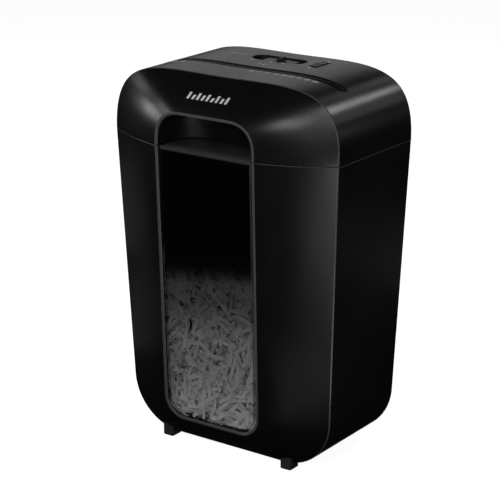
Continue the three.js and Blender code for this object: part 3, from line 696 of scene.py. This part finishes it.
def slot_section(x, grow, floor_drop):
    """Front and rear edge, foot and depth of the slot at a place across the head."""
    half = slot_half + grow
    from_end = min(1, (half - abs(x)) / slot_end_run)
    pinch = sqrt(max(0, 1 - (1 - from_end) ** 2))
    middle = (slot_front + slot_rear) / 2
    front = mix(middle - 0.001, slot_front - grow, pinch)
    rear = mix(middle + 0.001, slot_rear + grow, pinch)
    foot = mix(middle, slot_foot + grow, pinch)
    depth = (slot_depth + floor_drop) * (0.35 + 0.65 * pinch)
    return front, rear, foot, depth


def slot_top(x):
    return crown_top(min(abs(x), slot_half + 0.001))


def slot_places(grow):
    half = slot_half + grow
    return [half * sin(pi / 2 * (2 * i / slot_stations - 1)) for i in range(slot_stations + 1)]


def arc_outline(centres, radius, sweep, z, turns):
    """A level outline of arcs, each from its own start angle round its own centre."""
    points = []
    for x, y, start in centres:
        for step in range(turns + 1):
            angle = radians(start + sweep * step / turns)
            points.append(Vector((x + radius * cos(angle), y + radius * sin(angle), z)))
    return points


def stadium_points(x0, x1, y, radius, z, turns=16):
    return arc_outline([(x1 - radius, y, -90), (x0 + radius, y, 90)], radius, 180, z, turns)


def rounded_rectangle(x0, x1, y0, y1, radius, z, turns=6):
    left, right, front, rear = x0 + radius, x1 - radius, y0 + radius, y1 - radius
    corners = [(right, front, -90), (right, rear, 0), (left, rear, 90), (left, front, 180)]
    return arc_outline(corners, radius, 90, z, turns)


def stack(name, rings):
    """A closed solid through a row of rings, capped at both ends."""
    made = start_ring(name, rings[0])
    bpy.ops.mesh.edge_face_add()
    for ring in rings[1:]:
        bpy.ops.mesh.select_mode(type="VERT")
        next_ring(ring)
    close_and_finish()
    return made


def at_height(points, z):
    return [Vector((p.x, p.y, z)) for p in points]


def upright_prism(name, outline, bottom, top):
    return stack(name, [at_height(outline, bottom), at_height(outline, top)])


def combine(obj, other, operation="DIFFERENCE"):
    """Cuts a solid out of a piece, or joins it on, and removes the solid."""
    add_and_apply(obj, "BOOLEAN", operation=operation, object=other, solver="EXACT")
    bpy.data.objects.remove(other)


mode_pocket = {"half": 0.0372, "y": 0.0440, "radius": 0.0138}
lock_slot = {"x": 0.0555, "half": 0.0065, "front": 0.0305, "rear": 0.060, "corner": 0.002}
gland = {"x": 0.096, "z": 0.400, "radius": 0.009}
cut_under, cut_over = 0.450, 0.480

insert_wall = 0.0012
slot_over, slot_under = 0.006, -0.02
gland_turns = 48
gland_fit = 0.0003

slot_rings = []
for x in slot_places(insert_wall):
    front, rear, _, _ = slot_section(x, insert_wall, 0)
    z = slot_top(x)
    corners = ((front, slot_over), (front, slot_under), (rear, slot_under), (rear, slot_over))
    slot_rings.append([Vector((x, y, z + dz)) for y, dz in corners])
slot_cutter = stack("slot_cutter", slot_rings)
half, y = mode_pocket["half"], mode_pocket["y"]
pocket_outline = stadium_points(-half, half, y, mode_pocket["radius"], 0)
pocket_cutter = upright_prism("pocket_cutter", pocket_outline, cut_under, cut_over)
x, half = lock_slot["x"], lock_slot["half"]
lock_outline = rounded_rectangle(
    x - half, x + half, lock_slot["front"], lock_slot["rear"], lock_slot["corner"], 0
)
lock_cutter = upright_prism("lock_cutter", lock_outline, cut_under, cut_over)
gland_rings = []
for y in (0.07, 0.13):
    ring = []
    for i in range(gland_turns):
        angle = 2 * pi * i / gland_turns
        out = (gland["radius"] + gland_fit) * Vector((cos(angle), sin(angle)))
        ring.append(Vector((gland["x"] + out.x, y, gland["z"] + out.y)))
    gland_rings.append(ring)
gland_cutter = stack("gland_cutter", gland_rings)
for cutter in (slot_cutter, pocket_cutter, lock_cutter, gland_cutter):
    combine(head_cover, cutter)
recess_low = Vector((-rim_half_seam, -0.0990, seam_z - 0.001))
recess_high = Vector((rim_half_seam, recess_rear + 0.0003, rim_top - rim_lip + 0.0003))


def in_recess(face):
    return all(a < b < c for a, b, c in zip(recess_low, face.calc_center_median(), recess_high))


mark_where(head_cover, in_recess, -1.0)
round_body_edges(head_cover)
put_down(head_cover)
add_and_apply(head_cover, "WEIGHTED_NORMAL", keep_sharp=True)
paint_piece(head_cover, satin_black)
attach(head_cover, "head")
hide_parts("head_cover")

# -------- slot insert
# A separate black insert lines the paper slot. Its front wall stands upright and its rear wall leans
# back, so that paper slides down into the throat, and both run out in rounded ends.

throat_half = 0.1145
throat_front = -0.0182
throat_rear = -0.0118


def insert_ring(x):
    """The insert's section at a place across the head, walls and floor, as one closed outline."""
    front, rear, foot, depth = slot_section(x, 0, 0)
    wall = insert_wall - 0.0002
    section = (
        (front - wall, 0.0001),
        (front - wall * 0.3, 0.0002),
        (front, -0.0004),
        (front, -depth),
        (foot, -depth),
        (foot, -slot_ramp),
        (rear, -0.0010),
        (rear + wall * 0.2, 0.0001),
        (rear + wall, 0.0002),
        (rear + wall, -0.0024),
        (foot + wall, -slot_ramp - wall),
        (foot + wall, -depth - wall),
        (front - wall, -depth - wall),
    )
    return [Vector((x, y, slot_top(x) + dz)) for y, dz in section]


slot_insert = stack("slot_insert", [insert_ring(x) for x in slot_places(0)])
throat_outline = rounded_rectangle(-throat_half, throat_half, throat_front, throat_rear, 0.001, 0)
combine(slot_insert, upright_prism("throat_cutter", throat_outline, 0.40, cut_over))
put_down(slot_insert)
insert_black = moulded_black("insert_black", (0.014, 0.014, 0.015), 0.30, relief=0.000006)
paint_piece(slot_insert, insert_black)
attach(slot_insert, "head")

# -------- window
# One polished moulding in smoked clear plastic: the pane that stands in the rim, with a groove round
# its face, and the ledge at its top that floors the hand recess.

pane_groove = 0.0034
pane_inset = 0.0063
ledge_thickness = 0.0024
ledge_front = -0.102
pane_rings = [
    (pane_groove, 0.0060),
    (pane_groove, 0.0042),
    (pane_groove + 0.0002, 0.0040),
    (pane_inset - 0.0003, 0.0040),
    (pane_inset, 0.0037),
    (pane_inset, 0.0023),
    (pane_inset + 0.0004, 0.0018),
    (pane_inset + 0.0030, 0.0018),
]


def pane_ring(inset, depth):
    return along_outline(rim_outline(inset), lambda x, z: rim_plane_y(x, z) + depth)


def close_ends(obj):
    """Fills a piece's open ends and turns its faces outwards, and stays in edit mode."""
    edit(obj)
    select_all()
    bpy.ops.mesh.fill_holes(sides=0)
    bpy.ops.mesh.normals_make_consistent(inside=False)


bin_window = stack("smoked_pane", [pane_ring(inset, depth) for inset, depth in pane_rings])
close_ends(bin_window)
slice_at(2, seam_z - seam_gap, clear_outer=True, use_fill=True)


def on_pane_highlight_line(face):
    middle = face.calc_center_median()
    return 0.0019 < middle.y - rim_plane_y(0, middle.z) < 0.00395


# The pane's raised edge is marked for a painted highlight.
mark_where(bin_window, on_pane_highlight_line, 0.7)

recess_half = rim_half_seam - rim_lip - 0.0003
ledge_radius = recess_corner - 0.0003
ledge_rear = recess_rear - 0.0003
ledge_turns = 14
ledge_side_front = -0.0960
ledge_chamfer = 0.0077
ledge_nose = recess_half - ledge_chamfer
ledge_plan = [Vector((ledge_nose, ledge_front, 0)), Vector((recess_half, ledge_side_front, 0))]
for side in (1, -1):
    for step in range(ledge_turns + 1):
        angle = pi / 2 * (step / ledge_turns if side > 0 else 1 - step / ledge_turns)
        x = side * (recess_half - ledge_radius + ledge_radius * cos(angle))
        ledge_plan.append(Vector((x, ledge_rear - ledge_radius + ledge_radius * sin(angle), 0)))
ledge_plan += [Vector((-recess_half, ledge_side_front, 0)), Vector((-ledge_nose, ledge_front, 0))]
ledge_top = seam_z - seam_gap
ledge = upright_prism("ledge", ledge_plan, ledge_top - ledge_thickness, ledge_top)
round_edges(ledge, 0.0005, 2, lambda e: all(abs(v.co.z - ledge_top) < 1e-6 for v in e.verts))
combine(bin_window, ledge, "UNION")
put_down(bin_window)

# The pane's opacity is painted shade: nearly clear at its foot and almost black at its top, rising along the
# slope of the heap's top, and the frosted ledge is grey.
painted_shade_by_height = ((0.05, 0.10), (0.14, 0.22), (0.218, 0.44), (0.252, 0.80), (0.282, 0.988))
heap_slope = 0.13
ledge_foot = ledge_top - ledge_thickness
smoked, tree, pane = new_material("smoked_clear")
place = add_node(tree, "TexCoord", {}).outputs["Object"]
height = add_node(tree, "SeparateXYZ", {"Vector": place}).outputs
lean = add_node(tree, "Math", {0: height["X"], 1: -heap_slope, 2: height["Z"]}, operation="MULTIPLY_ADD")
painted_shade_opacity = colour_ramp(tree, lean.outputs[0], [(z, (opacity,) * 3) for z, opacity in painted_shade_by_height], "EASE")
# Marked edge faces become opaque and light grey: a painted highlight.
edge = add_node(tree, "Attribute", {}, attribute_name="highlight_and_matt").outputs["Fac"]
solid = add_node(tree, "Math", {0: painted_shade_opacity, 1: edge}, operation="MAXIMUM")
rise = {"Value": height["Z"], "From Min": ledge_foot - ledge_thickness, "From Max": ledge_foot}
thick = add_node(tree, "MapRange", rise).outputs["Result"]
pane_tint, ledge_tint = (0.0015, 0.0015, 0.0018, 1), (0.060, 0.060, 0.061, 1)
tint = add_node(tree, "MixRGB", {0: thick, 1: pane_tint, 2: ledge_tint}).outputs["Color"]
tint = add_node(tree, "MixRGB", {0: edge, 1: tint, 2: (0.10, 0.10, 0.10, 1)}).outputs["Color"]
frosting = add_node(tree, "MapRange", {"Value": thick, "To Min": 0.08, "To Max": 0.42}).outputs["Result"]
set_inputs(tree, pane, {"Base Color": tint, "Roughness": frosting, "Alpha": solid.outputs[0]})
paint_piece(bin_window, smoked)
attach(bin_window, "bin")
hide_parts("bin_window")

# -------- shredded paper
# Cross-cut strips of office paper, about four millimetres wide, lie loose in the bin up to half its
# height. They press flat against the window and lie in all directions on top of the heap.

strip_width = 0.0043
strip_gauge = 0.00018
strip_cuts = 6
paper_seed = 41
draw = random.Random(paper_seed)


def bent_strip(length, bend, twist, kink):
    """A strip along X, curled about Y and twisted about X, as a thin closed sheet."""
    deselect_all()
    bpy.ops.mesh.primitive_plane_add(size=1)
    strip = bpy.context.object
    enter_edit()
    for cut in range(1, strip_cuts):
        slice_at(0, cut / strip_cuts - 0.5)
    leave_edit()
    for vertex in strip.data.vertices:
        along, across = vertex.co.x, vertex.co.y * strip_width
        turn = twist * along
        angle = bend * along
        reach = length * sin(angle) / bend
        rise = length * ((1 - cos(angle)) / bend + kink * abs(along))
        vertex.co = Vector((reach, across * cos(turn), rise + across * sin(turn)))
    add_and_apply(strip, "SOLIDIFY", thickness=strip_gauge, offset=0)
    points = [v.co.copy() for v in strip.data.vertices]
    faces = [tuple(p.vertices) for p in strip.data.polygons]
    bpy.data.objects.remove(strip)
    return points, faces


strip_kinds = [
    bent_strip(0.036, 0.0001, 0.1, 0.0),
    bent_strip(0.032, 0.3, 0.2, 0.0),
    bent_strip(0.027, -0.4, -0.3, 0.0),
    bent_strip(0.024, 0.2, 0.4, 0.06),
    bent_strip(0.038, 0.2, -0.5, -0.03),
    bent_strip(0.018, 0.0001, 0.2, 0.04),
]
heap_points, heap_faces, strip_tone_and_painted_shade = [], [], []


def drop_strip(place, turn, tone):
    """Adds a copy of a strip to the heap."""
    points, faces = draw.choice(strip_kinds)
    first = len(heap_points)
    heap_points.extend(place + turn @ p for p in points)
    heap_faces.extend(tuple(first + i for i in face) for face in faces)
    strip_tone_and_painted_shade.extend([tone] * len(faces))


def pane_back_y(z):
    """The back of the pane, where the paper rests."""
    return rim_plane_y(0, z) + 0.0064


window_half = 0.0615
window_low = 0.047
heap_top = 0.262
pane_lean = atan((rim_plane_base - rim_plane_seam) / (seam_z - foot_height))


def turned(spread):
    """A small random tip about both level axes."""
    tip = Matrix.Rotation(draw.gauss(0, spread), 3, "X")
    return tip @ Matrix.Rotation(draw.gauss(0, spread), 3, "Y")


def spun():
    return Matrix.Rotation(draw.uniform(0, 2 * pi), 3, "Z")


upright = Matrix.Rotation(pi / 2 + pane_lean, 3, "X")
# Depth behind the pane, tumble, count and brightness of each layer of strips; the deeper layers are darker,
# as painted shade.
layers = [
    (0.0008, 0.05, 120, 0.95),
    (0.0022, 0.10, 200, 0.86),
    (0.0042, 0.16, 300, 0.78),
    (0.0065, 0.3, 420, 0.68),
]
for depth, tumble, count, brightness in layers:
    for _ in range(count):
        x = draw.uniform(-window_half - 0.007 - depth, window_half + 0.002)
        z = draw.uniform(window_low, heap_top + heap_slope * x)
        y = pane_back_y(z) + depth + draw.uniform(0.0, 0.0015)
        turn = upright @ turned(tumble) @ spun()
        drop_strip(Vector((x, y, z)), turn, brightness + draw.uniform(-0.16, 0.12))

heap_space = {"half": 0.118, "front": -0.066, "rear": 0.066, "level": 0.250, "dome": 0.012}
loose_strips = 420
for _ in range(loose_strips):
    x = draw.uniform(-heap_space["half"], heap_space["half"])
    y = draw.uniform(heap_space["front"], heap_space["rear"])
    dome = heap_space["dome"] * cos(x * 12) * cos(y * 14)
    z = heap_space["level"] + heap_slope * x + dome + draw.uniform(-0.002, 0.010)
    turn = turned(0.4) @ spun()
    drop_strip(Vector((x, y, z)), turn, draw.uniform(0.35, 1.0))


def keep_in_bin(point):
    """Keeps a strip's point behind the pane and inside the bin's walls."""
    nearest = pane_back_y(point.z) + 0.0004
    y = max(point.y, nearest)
    half = min(0.125, 0.0655 - 0.2 * max(0, 0.060 - point.z) + 2 * (y - nearest))
    x = max(-half, min(half, point.x))
    z = max(0.0445, point.z)
    return Vector((x, y, z))


shreds_mesh = bpy.data.meshes.new("paper_shreds")
shreds_mesh.from_pydata([keep_in_bin(p) for p in heap_points], [], heap_faces)
shreds = bpy.data.objects.new("paper_shreds", shreds_mesh)
scene.collection.objects.link(shreds)
tone_layer = shreds_mesh.attributes.new("tone", "FLOAT", "FACE")
tone_layer.data.foreach_set("value", np.array(strip_tone_and_painted_shade, np.float32))

# The strips' grey follows their tone: random, and darker in deeper layers as painted shade.
paper, tree, sheet = new_material("office_paper")
tone = add_node(tree, "Attribute", {}, attribute_name="tone").outputs["Fac"]
place = add_node(tree, "TexCoord", {}).outputs["Object"]
fibre = add_node(tree, "TexNoise", {"Scale": 900.0, "Vector": place}).outputs["Fac"]
blend = add_node(tree, "Math", {0: fibre, 1: 0.25, 2: tone}, operation="MULTIPLY_ADD").outputs[0]
paper_tone_and_painted_shade = colour_ramp(tree, blend, [(0.5, (0.26, 0.26, 0.26)), (1.0, (0.82, 0.82, 0.81))])
set_inputs(tree, sheet, {"Base Color": paper_tone_and_painted_shade, "Roughness": 0.85, "Specular IOR Level": 0.2})
paint_piece(shreds, paper)
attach(shreds, "bin")

# The heap under the strips: a soft lumpy mass that fills the bin below them. Its dark grey is painted shade
# inside the heap.
deselect_all()
bpy.ops.mesh.primitive_cube_add(size=1)
heap = bpy.context.object
heap.name = "paper_heap"
enter_edit()
select_all()
bpy.ops.mesh.subdivide(number_cuts=40)
leave_edit()
lumps = random.Random(7)
for vertex in heap.data.vertices:
    x, y, z = vertex.co
    height = z + 0.5
    half = mix(0.112, 0.126, height)
    z_here = mix(0.016, 0.252, height)
    front = mix(-0.040, -0.060, height)
    reach_window = max(0, 1 - (abs(x) * 2 * half / 0.060) ** 6)
    if 0.052 < z_here:
        front = mix(front, pane_back_y(z_here) + 0.014, reach_window)
    rear = mix(0.060, 0.070, height)
    y_here = mix(front, rear, y + 0.5)
    if height > 0.99:
        z_here += 0.010 * cos(x * 2.9) * cos(y * 3.0)
    jitter = Vector((lumps.uniform(-1, 1), lumps.uniform(-1, 1), lumps.uniform(-1, 1))) * 0.0016
    vertex.co = Vector((x * 2 * half, y_here, z_here)) + jitter
put_down(heap, angle=20)
heap_paper_painted_shade = moulded_black("heap_paper_painted_shade", (0.20, 0.20, 0.20), 0.9, grain=0.004, relief=0.001)
paint_piece(heap, heap_paper_painted_shade)
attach(heap, "bin")

# -------- feet
# Four short block feet of black plastic stand under the corners. Each is moulded to follow the shell above
# it, and is fixed to its underside.

foot_plastic = moulded_black("foot_plastic", (0.045, 0.045, 0.046), 0.45)
for end in ("front", "rear"):
    for side in ("left", "right"):
        node = f"foot_{end}_{side}"
        foot = frame["nodes"][node].copy()
        foot.data = frame["nodes"][node].data.copy()
        foot.name = f"block_foot_{end}_{side}"
        del foot["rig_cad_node"]
        foot.parent = None
        scene.collection.objects.link(foot)
        edit(foot)
        select_all()
        bpy.ops.mesh.remove_doubles(threshold=1e-5)
        bpy.ops.mesh.dissolve_limited(angle_limit=radians(1))
        leave_edit()
        low = min(v.co.z for v in foot.data.vertices)
        round_edges(foot, 0.0008, 3, lambda e, low=low: all(v.co.z < low + 1e-5 for v in e.verts))
        put_down(foot)
        paint_piece(foot, foot_plastic)
        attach(foot, "bin")
        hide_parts(node)

# -------- mode switch
# A slide switch in a stadium-shaped pocket. Its body fills the pocket's floor, and the slider is a
# glossy plate with a finger scoop on each side of a standing rib.

low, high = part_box("mode_switch_body")
pocket_floor = high.z
pocket_wall = 0.0010
tub_half = mode_pocket["half"] - 0.0002
tub_radius = mode_pocket["radius"] - 0.0002


def tub_ring(shrink, z):
    half = tub_half - shrink
    return stadium_points(-half, half, mode_pocket["y"], tub_radius - shrink, z, turns=31)


def crowned(points, drop):
    """Lays a level ring on the crown, a little under its surface."""
    return [Vector((p.x, p.y, crown_top(p.x) - drop)) for p in points]


mode_body = stack(
    "mode_pocket_tub",
    [
        tub_ring(-0.0010, low.z + 0.002),
        tub_ring(-0.0010, pocket_floor - 0.0006),
        tub_ring(0, pocket_floor - 0.0002),
        crowned(tub_ring(0, 0), 0.0004),
        crowned(tub_ring(0.0002, 0), 0.0001),
        crowned(tub_ring(pocket_wall * 0.7, 0), 0.0001),
        crowned(tub_ring(pocket_wall, 0), 0.0004),
        tub_ring(pocket_wall, pocket_floor),
    ],
)
close_ends(mode_body)
leave_edit()
put_down(mode_body)
pocket_black = moulded_black("pocket_black", (0.006, 0.006, 0.006), 0.5)
paint_piece(mode_body, pocket_black)
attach(mode_body, "head")
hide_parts("mode_switch_body")

low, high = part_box("mode_slider")
slider_plate_top = 0.462
slider_rib_x = 0.002
slider_rib_half = 0.0014
slider_scoop = 0.0009
slider_radius = (high.y - low.y) / 2
slider_y = (high.y + low.y) / 2
slider_corner = 0.005


def button(name, low, high, corner, steps):
    """A block with rounded corners between two corners of a box, drawn in at its top edge."""
    rings = []
    for shrink, z in steps:
        x0, x1, y0, y1 = low.x + shrink, high.x - shrink, low.y + shrink, high.y - shrink
        rings.append(rounded_rectangle(x0, x1, y0, y1, corner - shrink, z))
    made = stack(name, rings)
    close_ends(made)
    return made


top = slider_plate_top
slider_steps = ((0, low.z), (0, top - 0.0006), (0.0002, top - 0.0002), (0.0006, top))
mode_slider = button("mode_slide_button", low, high, slider_corner, slider_steps)
scoop_cuts = 18
for cut in range(1, scoop_cuts):
    slice_at(0, mix(low.x, high.x, cut / scoop_cuts))
for x in (slider_rib_x - slider_rib_half, slider_rib_x + slider_rib_half):
    slice_at(0, x)
for share in (0.25, 0.5, 0.75):
    slice_at(1, mix(low.y + 0.0008, high.y - 0.0008, share))
cage = bmesh.from_edit_mesh(mode_slider.data)
for vertex in cage.verts:
    x, y, z = vertex.co
    if z > slider_plate_top - 1e-6:
        reach = (high.x - slider_rib_x) if x > slider_rib_x else (slider_rib_x - low.x)
        from_rib = max(0, abs(x - slider_rib_x) - slider_rib_half) / reach
        across = 1 - ((y - slider_y) / slider_radius) ** 4
        if from_rib > 0:
            vertex.co.z -= slider_scoop * max(0, cos(from_rib * pi / 1.8)) ** 0.8 * max(0, across)
bmesh.update_edit_mesh(mode_slider.data)


def under_rib(face):
    middle = face.calc_center_median()
    near = abs(middle.x - slider_rib_x) < slider_rib_half
    return near and face.normal.z > 0.9 and middle.z > slider_plate_top - 0.0005


select_where(mode_slider, "faces", under_rib)
bpy.ops.mesh.extrude_region_move(TRANSFORM_OT_translate={"value": (0, 0, high.z - slider_plate_top)})
bpy.ops.transform.resize(value=(0.7, 0.86, 1), center_override=(slider_rib_x, slider_y, high.z))
leave_edit()
put_down(mode_slider, angle=40)
control_black = moulded_black("control_black", (0.014, 0.014, 0.015), 0.26, relief=0.000004)
paint_piece(mode_slider, control_black)
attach(mode_slider, "mode_slider")
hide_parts("mode_slider")

# -------- safety lock
# A second, shorter slide switch that blocks the machine. Its block is moulded in the same glossy black
# plastic, with grip grooves across its top, and it slides in a slot in the cover.

low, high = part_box("lock_slider")
top = high.z
lock_steps = ((0, low.z), (0, top - 0.0007), (0.0002, top - 0.0002), (0.0007, top))
lock_button = button("lock_slide_button", low, high, 0.0015, lock_steps)
grip_count = 5
grip_pitch = 0.0026
grip_first = (low.y + high.y) / 2 - grip_pitch * (grip_count - 1) / 2
for i in range(grip_count):
    for side in (-0.0007, -0.00035, 0.00035, 0.0007):
        slice_at(1, grip_first + i * grip_pitch + side)
cage = bmesh.from_edit_mesh(lock_button.data)
for vertex in cage.verts:
    if vertex.co.z > high.z - 1e-6:
        for i in range(grip_count):
            if abs(vertex.co.y - grip_first - i * grip_pitch) < 0.0004:
                vertex.co.z -= 0.0006
bmesh.update_edit_mesh(lock_button.data)
leave_edit()
put_down(lock_button)
paint_piece(lock_button, control_black)
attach(lock_button, "lock_slider")
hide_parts("lock_slider")

# -------- printed symbols
# Plain white symbols, screen printed on the cover: what may be fed, beside the slot; the switch's
# positions, round its pocket; the lock's two ends; and a plain row of bars on the front.

ink_gauge = 0.00012
prints = []


def ring_mark(x, y, radius, stroke, turns=20):
    """A printed circle."""
    deselect_all()
    bpy.ops.mesh.primitive_circle_add(vertices=turns, radius=radius, fill_type="NGON", location=(x, y, 0))
    mark = bpy.context.object
    enter_edit()
    select_all()
    if stroke:
        bpy.ops.mesh.inset(thickness=stroke)
        bpy.ops.mesh.delete(type="FACE")
    leave_edit()
    prints.append(mark)


def bar_mark(x, y, width, height, slant=0.0, turn=0.0):
    """A printed bar, upright, slanted or turned."""
    deselect_all()
    bpy.ops.mesh.primitive_plane_add(size=1, location=(x, y, 0))
    mark = bpy.context.object
    for vertex in mark.data.vertices:
        px, py = vertex.co.x * width + vertex.co.y * slant, vertex.co.y * height
        vertex.co.x = px * cos(turn) - py * sin(turn)
        vertex.co.y = px * sin(turn) + py * cos(turn)
    prints.append(mark)


def lay_print(name, cover, axis, lift, body):
    """Joins the marks drawn so far and lays them on the cover as a thin printed coat."""
    deselect_all()
    for mark in prints:
        mark.select_set(True)
    bpy.context.view_layer.objects.active = prints[0]
    bpy.ops.object.join()
    made = bpy.context.object
    made.name = name
    prints.clear()
    bpy.ops.object.transform_apply(location=True, rotation=True, scale=True)
    enter_edit()
    select_all()
    if axis == "Y":
        bpy.ops.transform.rotate(value=-pi / 2, orient_axis="X", center_override=(0, 0, 0))
    bpy.ops.mesh.quads_convert_to_tris()
    bpy.ops.mesh.subdivide(number_cuts=2)
    bpy.ops.transform.translate(value=lift)
    leave_edit()
    add_and_apply(
        made,
        "SHRINKWRAP",
        target=cover,
        wrap_method="PROJECT",
        use_project_y=axis == "Y",
        use_project_z=axis == "Z",
        use_negative_direction=axis == "Z",
        use_positive_direction=axis == "Y",
        offset=ink_gauge,
    )
    add_and_apply(made, "SOLIDIFY", thickness=ink_gauge * 0.8, offset=0)
    edit(made)
    select_all()
    bpy.ops.mesh.normals_make_consistent(inside=False)
    put_down(made)
    paint_piece(made, print_white)
    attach(made, body)


print_white = moulded_black("print_white", (0.86, 0.86, 0.86), 0.55, relief=0.000002)

feed_row_y = -0.0268
for i, x in enumerate((0.010, 0.0205, 0.031, 0.0445, 0.055, 0.0655, 0.076, 0.0865, 0.097)):
    if i % 3 == 0:
        ring_mark(x, feed_row_y, 0.0032, 0.0010)
        bar_mark(x, feed_row_y, 0.0036, 0.0011, turn=0.7)
    elif i % 3 == 1:
        for step in (-0.0022, 0.0022):
            bar_mark(x + step, feed_row_y, 0.0012, 0.0058)
        for step in (0.0022, -0.0022):
            bar_mark(x, feed_row_y + step, 0.0032, 0.0012)
    else:
        for step in (-0.0018, 0.0018):
            ring_mark(x + step, feed_row_y, 0.0026, 0.0009)
for x in (-0.1005, -0.0890):
    ring_mark(x, feed_row_y, 0.0036, 0.0011)
    bar_mark(x, feed_row_y, 0.0012, 0.0028)
for x in (-0.026, 0.0, 0.018):
    bar_mark(x, 0.0262, 0.0050, 0.0013)
    bar_mark(x, 0.0236, 0.0013, 0.0026)
bar_mark(-0.0060, 0.0100, 0.0050, 0.0013)
bar_mark(-0.0060, 0.0128, 0.0012, 0.0036)
ring_mark(0.0020, 0.0108, 0.0024, 0.0009)
for x in (-0.060, -0.0525, -0.0455):
    bar_mark(x, mode_pocket["y"], 0.0013, 0.0075, turn=-0.5)
ring_mark(-0.0670, mode_pocket["y"], 0.0026, 0.0009)
for y in (0.0248, 0.0655):
    ring_mark(lock_slot["x"], y, 0.0024, 0.0)
lay_print("printed_symbols", head_cover, "Z", (0, 0, 0.49), "head")

bar_first_x = -0.0290
bar_pitch = 0.0066
bar_tallest = 0.0066
bar_middle_z = 0.4422
for i, tall in enumerate((0.0066, 0.0044, 0.0066, 0.0052, 0.0066, 0.0040, 0.0066, 0.0048, 0.0066)):
    z = bar_middle_z - (bar_tallest - tall) / 2
    bar_mark(bar_first_x + i * bar_pitch, z, 0.0034, tall, slant=0.0018)
lay_print("printed_front_bars", head_cover, "Y", (0, -0.16, 0), "head")

# -------- inner pieces
# Under the cover: plated steel plates and rods, ground cutter rolls in bronze bushes, steel and nylon
# gears, the motor, and black or natural mouldings that hold and guide the paper.


def worked_metal(name, colour, roughness, grain_axis):
    """Metal with fine working marks along one axis and slightly uneven brightness."""
    material, tree, metal = new_material(name)
    place = add_node(tree, "TexCoord", {}).outputs["Object"]
    scale = tuple(0.04 if i == grain_axis else 1.0 for i in range(3))
    stretch = add_node(tree, "Mapping", {"Vector": place, "Scale": scale}).outputs["Vector"]
    marks = add_node(tree, "TexNoise", {"Scale": 2400.0, "Detail": 3.0, "Vector": stretch}).outputs["Fac"]
    cloud = add_node(tree, "TexNoise", {"Scale": 40.0, "Vector": place}).outputs["Fac"]
    tint = colour_ramp(tree, cloud, [(0.3, [c * 0.9 for c in colour]), (0.7, [c * 1.1 for c in colour])])
    gloss_range = {"To Min": roughness - 0.08, "To Max": roughness + 0.08}
    gloss = add_node(tree, "MapRange", {"Value": marks, **gloss_range}).outputs["Result"]
    ridges = add_node(tree, "Bump", {"Strength": 0.4, "Distance": 0.00001, "Height": marks})
    normal = ridges.outputs["Normal"]
    set_inputs(tree, metal, {"Metallic": 1.0, "Base Color": tint, "Roughness": gloss, "Normal": normal})
    return material


finishes = {
    "inner_black": moulded_black("inner_black", (0.016, 0.016, 0.017), 0.55),
    "rubber_black": moulded_black("rubber_black", (0.012, 0.012, 0.012), 0.75, grain=0.0006, relief=0.00002),
    "plate_steel": worked_metal("plated_sheet", (0.56, 0.57, 0.58), 0.34, 1),
    "cutter_steel": worked_metal("ground_steel", (0.36, 0.37, 0.38), 0.24, 2),
    "gear_steel": worked_metal("sintered_steel", (0.42, 0.42, 0.43), 0.45, 0),
    "motor_steel": worked_metal("rolled_can", (0.48, 0.49, 0.50), 0.38, 0),
    "brass_bush": worked_metal("sintered_bronze", (0.55, 0.38, 0.16), 0.42, 0),
    "nylon_white": moulded_black("natural_nylon", (0.72, 0.70, 0.62), 0.42, relief=0.000006),
    "board_green": moulded_black("solder_mask", (0.02, 0.12, 0.05), 0.35),
    "capacitor_white": moulded_black("capacitor_case", (0.70, 0.70, 0.68), 0.35),
    "switch_grey": moulded_black("switch_case", (0.10, 0.10, 0.11), 0.5),
}
slot_of = {p["node"]: p["material_slot"] for p in frame["record"]["subparts"]}
for name, node in frame["nodes"].items():
    if not node.hide_render:
        paint_piece(node, finishes[slot_of[name]])
